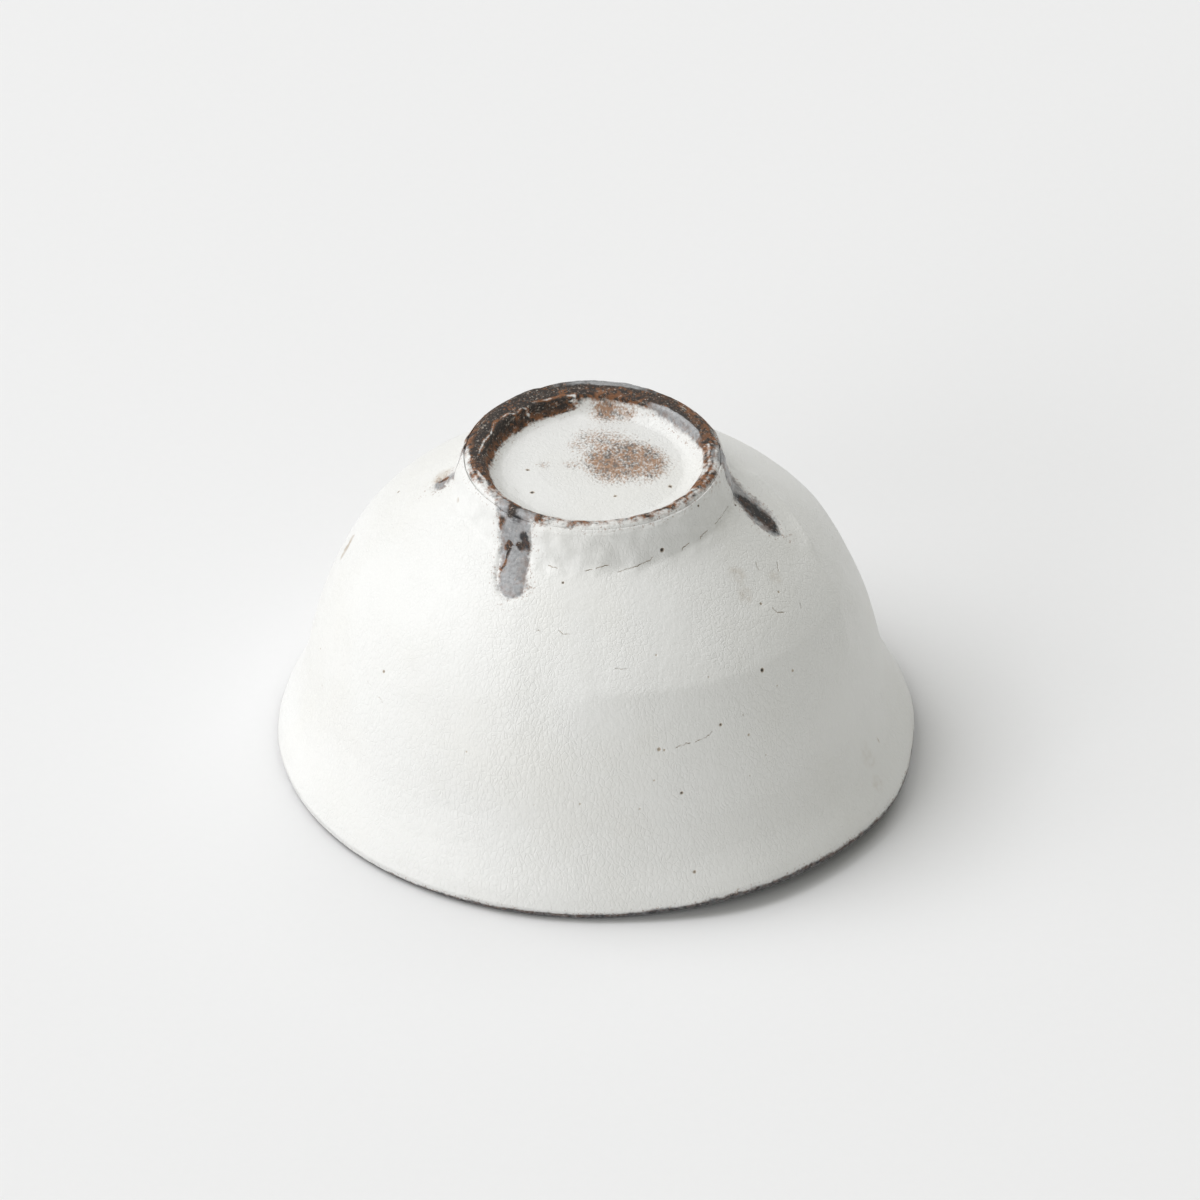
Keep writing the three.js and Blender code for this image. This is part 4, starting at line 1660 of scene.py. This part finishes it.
@dataclass(frozen=True)
class SoftLamp:
    """A soft light that faces the cup."""

    name: str
    azimuth: float
    elevation: float
    power: float
    size_m: float = 2.2
    distance_m: float = 4.0
    colour: Colour = (0.967, 0.97, 1.0)

    def build(self) -> None:
        """Adds the lamp."""
        data = bpy.data.lights.new(self.name, "AREA")
        data.shape = "SQUARE"
        data.size = self.size_m
        data.energy = self.power
        data.color = self.colour
        lamp = bpy.data.objects.new(self.name, data)
        turn, up = math.radians(self.azimuth), math.radians(self.elevation)
        away = Vector((math.cos(turn) * math.cos(up), math.sin(turn) * math.cos(up), math.sin(up)))
        lamp.location = away * self.distance_m
        lamp.rotation_euler = away.to_track_quat("Z", "Y").to_euler()
        bpy.context.scene.collection.objects.link(lamp)


@dataclass
class Studio:
    """Floor, light and camera."""

    floor_size_m: float = 3.0
    camera_distance: float = 1800.0
    camera_target: tuple[float, float, float] = (0.5, 0.0, 21.95)
    camera_elevation: float = 35.05
    lens: float = 403.9
    sensor_width: float = 36.0
    clip_m: tuple[float, float] = (0.05, 20.0)
    sky: float = 0.38
    sky_colour: Colour = (1.0, 1.0, 0.925)
    lamps: tuple[SoftLamp, ...] = (
        SoftLamp("window_light_back", 150.0, 55.0, 50.5),
        SoftLamp("window_light_front", 180.0, 55.0, 25.0),
        SoftLamp("side_light", 180.0, 35.0, 32.0),
        SoftLamp("low_front_light", 226.0, 15.0, 48.5),
        SoftLamp("back_light", 60.0, 55.0, 27.0),
    )

    def build(self) -> None:
        """Builds the floor, the light and the camera."""
        scene = bpy.context.scene
        scene.view_settings.view_transform = "Standard"
        half = self.floor_size_m / 2
        mesh = bpy.data.meshes.new("floor")
        corners = [(-half, -half, 0.0), (half, -half, 0.0), (half, half, 0.0), (-half, half, 0.0)]
        mesh.from_pydata(corners, [], [(0, 1, 2, 3)])
        mesh.materials.append(PaleFloor().material())
        floor = bpy.data.objects.new("floor", mesh)
        scene.collection.objects.link(floor)
        world = bpy.data.worlds.new("soft_room")
        world.use_nodes = True
        background = world.node_tree.nodes["Background"]
        background.inputs["Color"].default_value = (*self.sky_colour, 1.0)
        background.inputs["Strength"].default_value = self.sky
        scene.world = world
        for lamp in self.lamps:
            lamp.build()
        self._camera()

    def _camera(self) -> None:
        """Adds the camera at the photograph's viewing angle."""
        data = bpy.data.cameras.new("camera")
        data.sensor_width = self.sensor_width
        data.lens = self.lens
        data.clip_start, data.clip_end = self.clip_m
        camera = bpy.data.objects.new("camera", data)
        up = math.radians(self.camera_elevation)
        away = Vector((0.0, -math.cos(up), math.sin(up)))
        camera.location = (Vector(self.camera_target) + away * self.camera_distance) * MM
        camera.rotation_euler = away.to_track_quat("Z", "Y").to_euler()
        bpy.context.scene.collection.objects.link(camera)
        bpy.context.scene.camera = camera


FINGER_MARKS = (
    FingerMark(
        "finger_mark_front",
        -122.0,
        (
            (-1.6, 2.6, 5.7),
            (-1.2, 2.6, 2.5),
            (-0.4, 2.3, 0.8),
            (-0.1, 2.15, -0.5),
            (0.8, 2.15, -1.8),
            (1.3, 1.9, -2.5),
        ),
        (1.6, -3.2),
        (
            *((-3.3, 3.4, 0.9), (-1.6, 0.8, 0.8), (0.2, 1.2, 0.8)),
            *((1.9, 1.1, 1.0), (-1.4, -1.9, 0.7), (-2.2, 5.2, 0.9)),
        ),
        ((-1.0, 5.2, 1.35), (0.6, 2.6, 0.9), (0.9, 1.4, 0.8), (-0.7, -0.2, 0.4)),
    ),
    FingerMark(
        "finger_mark_right",
        -5.0,
        ((1.7, 2.0, 5.7), (1.2, 1.6, 0.5), (-0.8, 2.1, -1.2), (-1.7, 2.2, -2.6), (-2.4, 1.4, -3.7)),
        (-2.7, -4.2),
        (),
        ((-0.6, -1.0, 1.3), (-1.5, -2.2, 1.7), (-2.2, -3.4, 1.2)),
    ),
    FingerMark(
        "finger_mark_left",
        176.0,
        ((-0.8, 1.1, 5.7), (-0.8, 0.9, 0.6), (-0.5, 1.25, -0.5), (-0.4, 1.05, -1.0)),
        (-0.6, -1.5),
        ((-1.2, -0.6, 0.6), (-1.6, 4.5, 0.8)),
        (),
    ),
    FingerMark(
        "finger_mark_back",
        65.0,
        ((0.6, 4.6, 5.7), (0.3, 3.9, 0.6), (0.0, 3.7, -1.4), (-0.5, 2.9, -2.8)),
        (-0.9, -4.0),
        ((-2.2, -2.0, 1.2),),
        ((0.5, 0.3, 1.8),),
    ),
)


def main() -> None:
    """Builds the cup piece by piece, then the studio."""
    logging.basicConfig(level=logging.INFO, format="%(name)s %(message)s")
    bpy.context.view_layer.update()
    surface = FiredSurface()
    finishes = {slot: surface.material(slot.value) for slot in Slot}
    chart = SlipChart(FINGER_MARKS)
    wheel, blemisher = Wheel(), Blemisher()

    outer = OuterCoat(chart)
    coat = outer.build(wheel, finishes[Slot.SLIP])
    for mark in FINGER_MARKS:
        mark.build(coat, chart, finishes[Slot.GLAZE])
    outer.dress(coat, blemisher, finishes[Slot.SLIP])
    FootRing(chart).build(wheel, finishes[Slot.CLAY])
    WellCoat(chart).build(wheel, finishes[Slot.SLIP])
    bowl = ThrownBowl(chart)
    bowl.build_clay(wheel, finishes[Slot.CLAY])
    bowl.build_coat(wheel, finishes[Slot.SLIP])
    Studio().build()


if __name__ == "__main__":
    main()
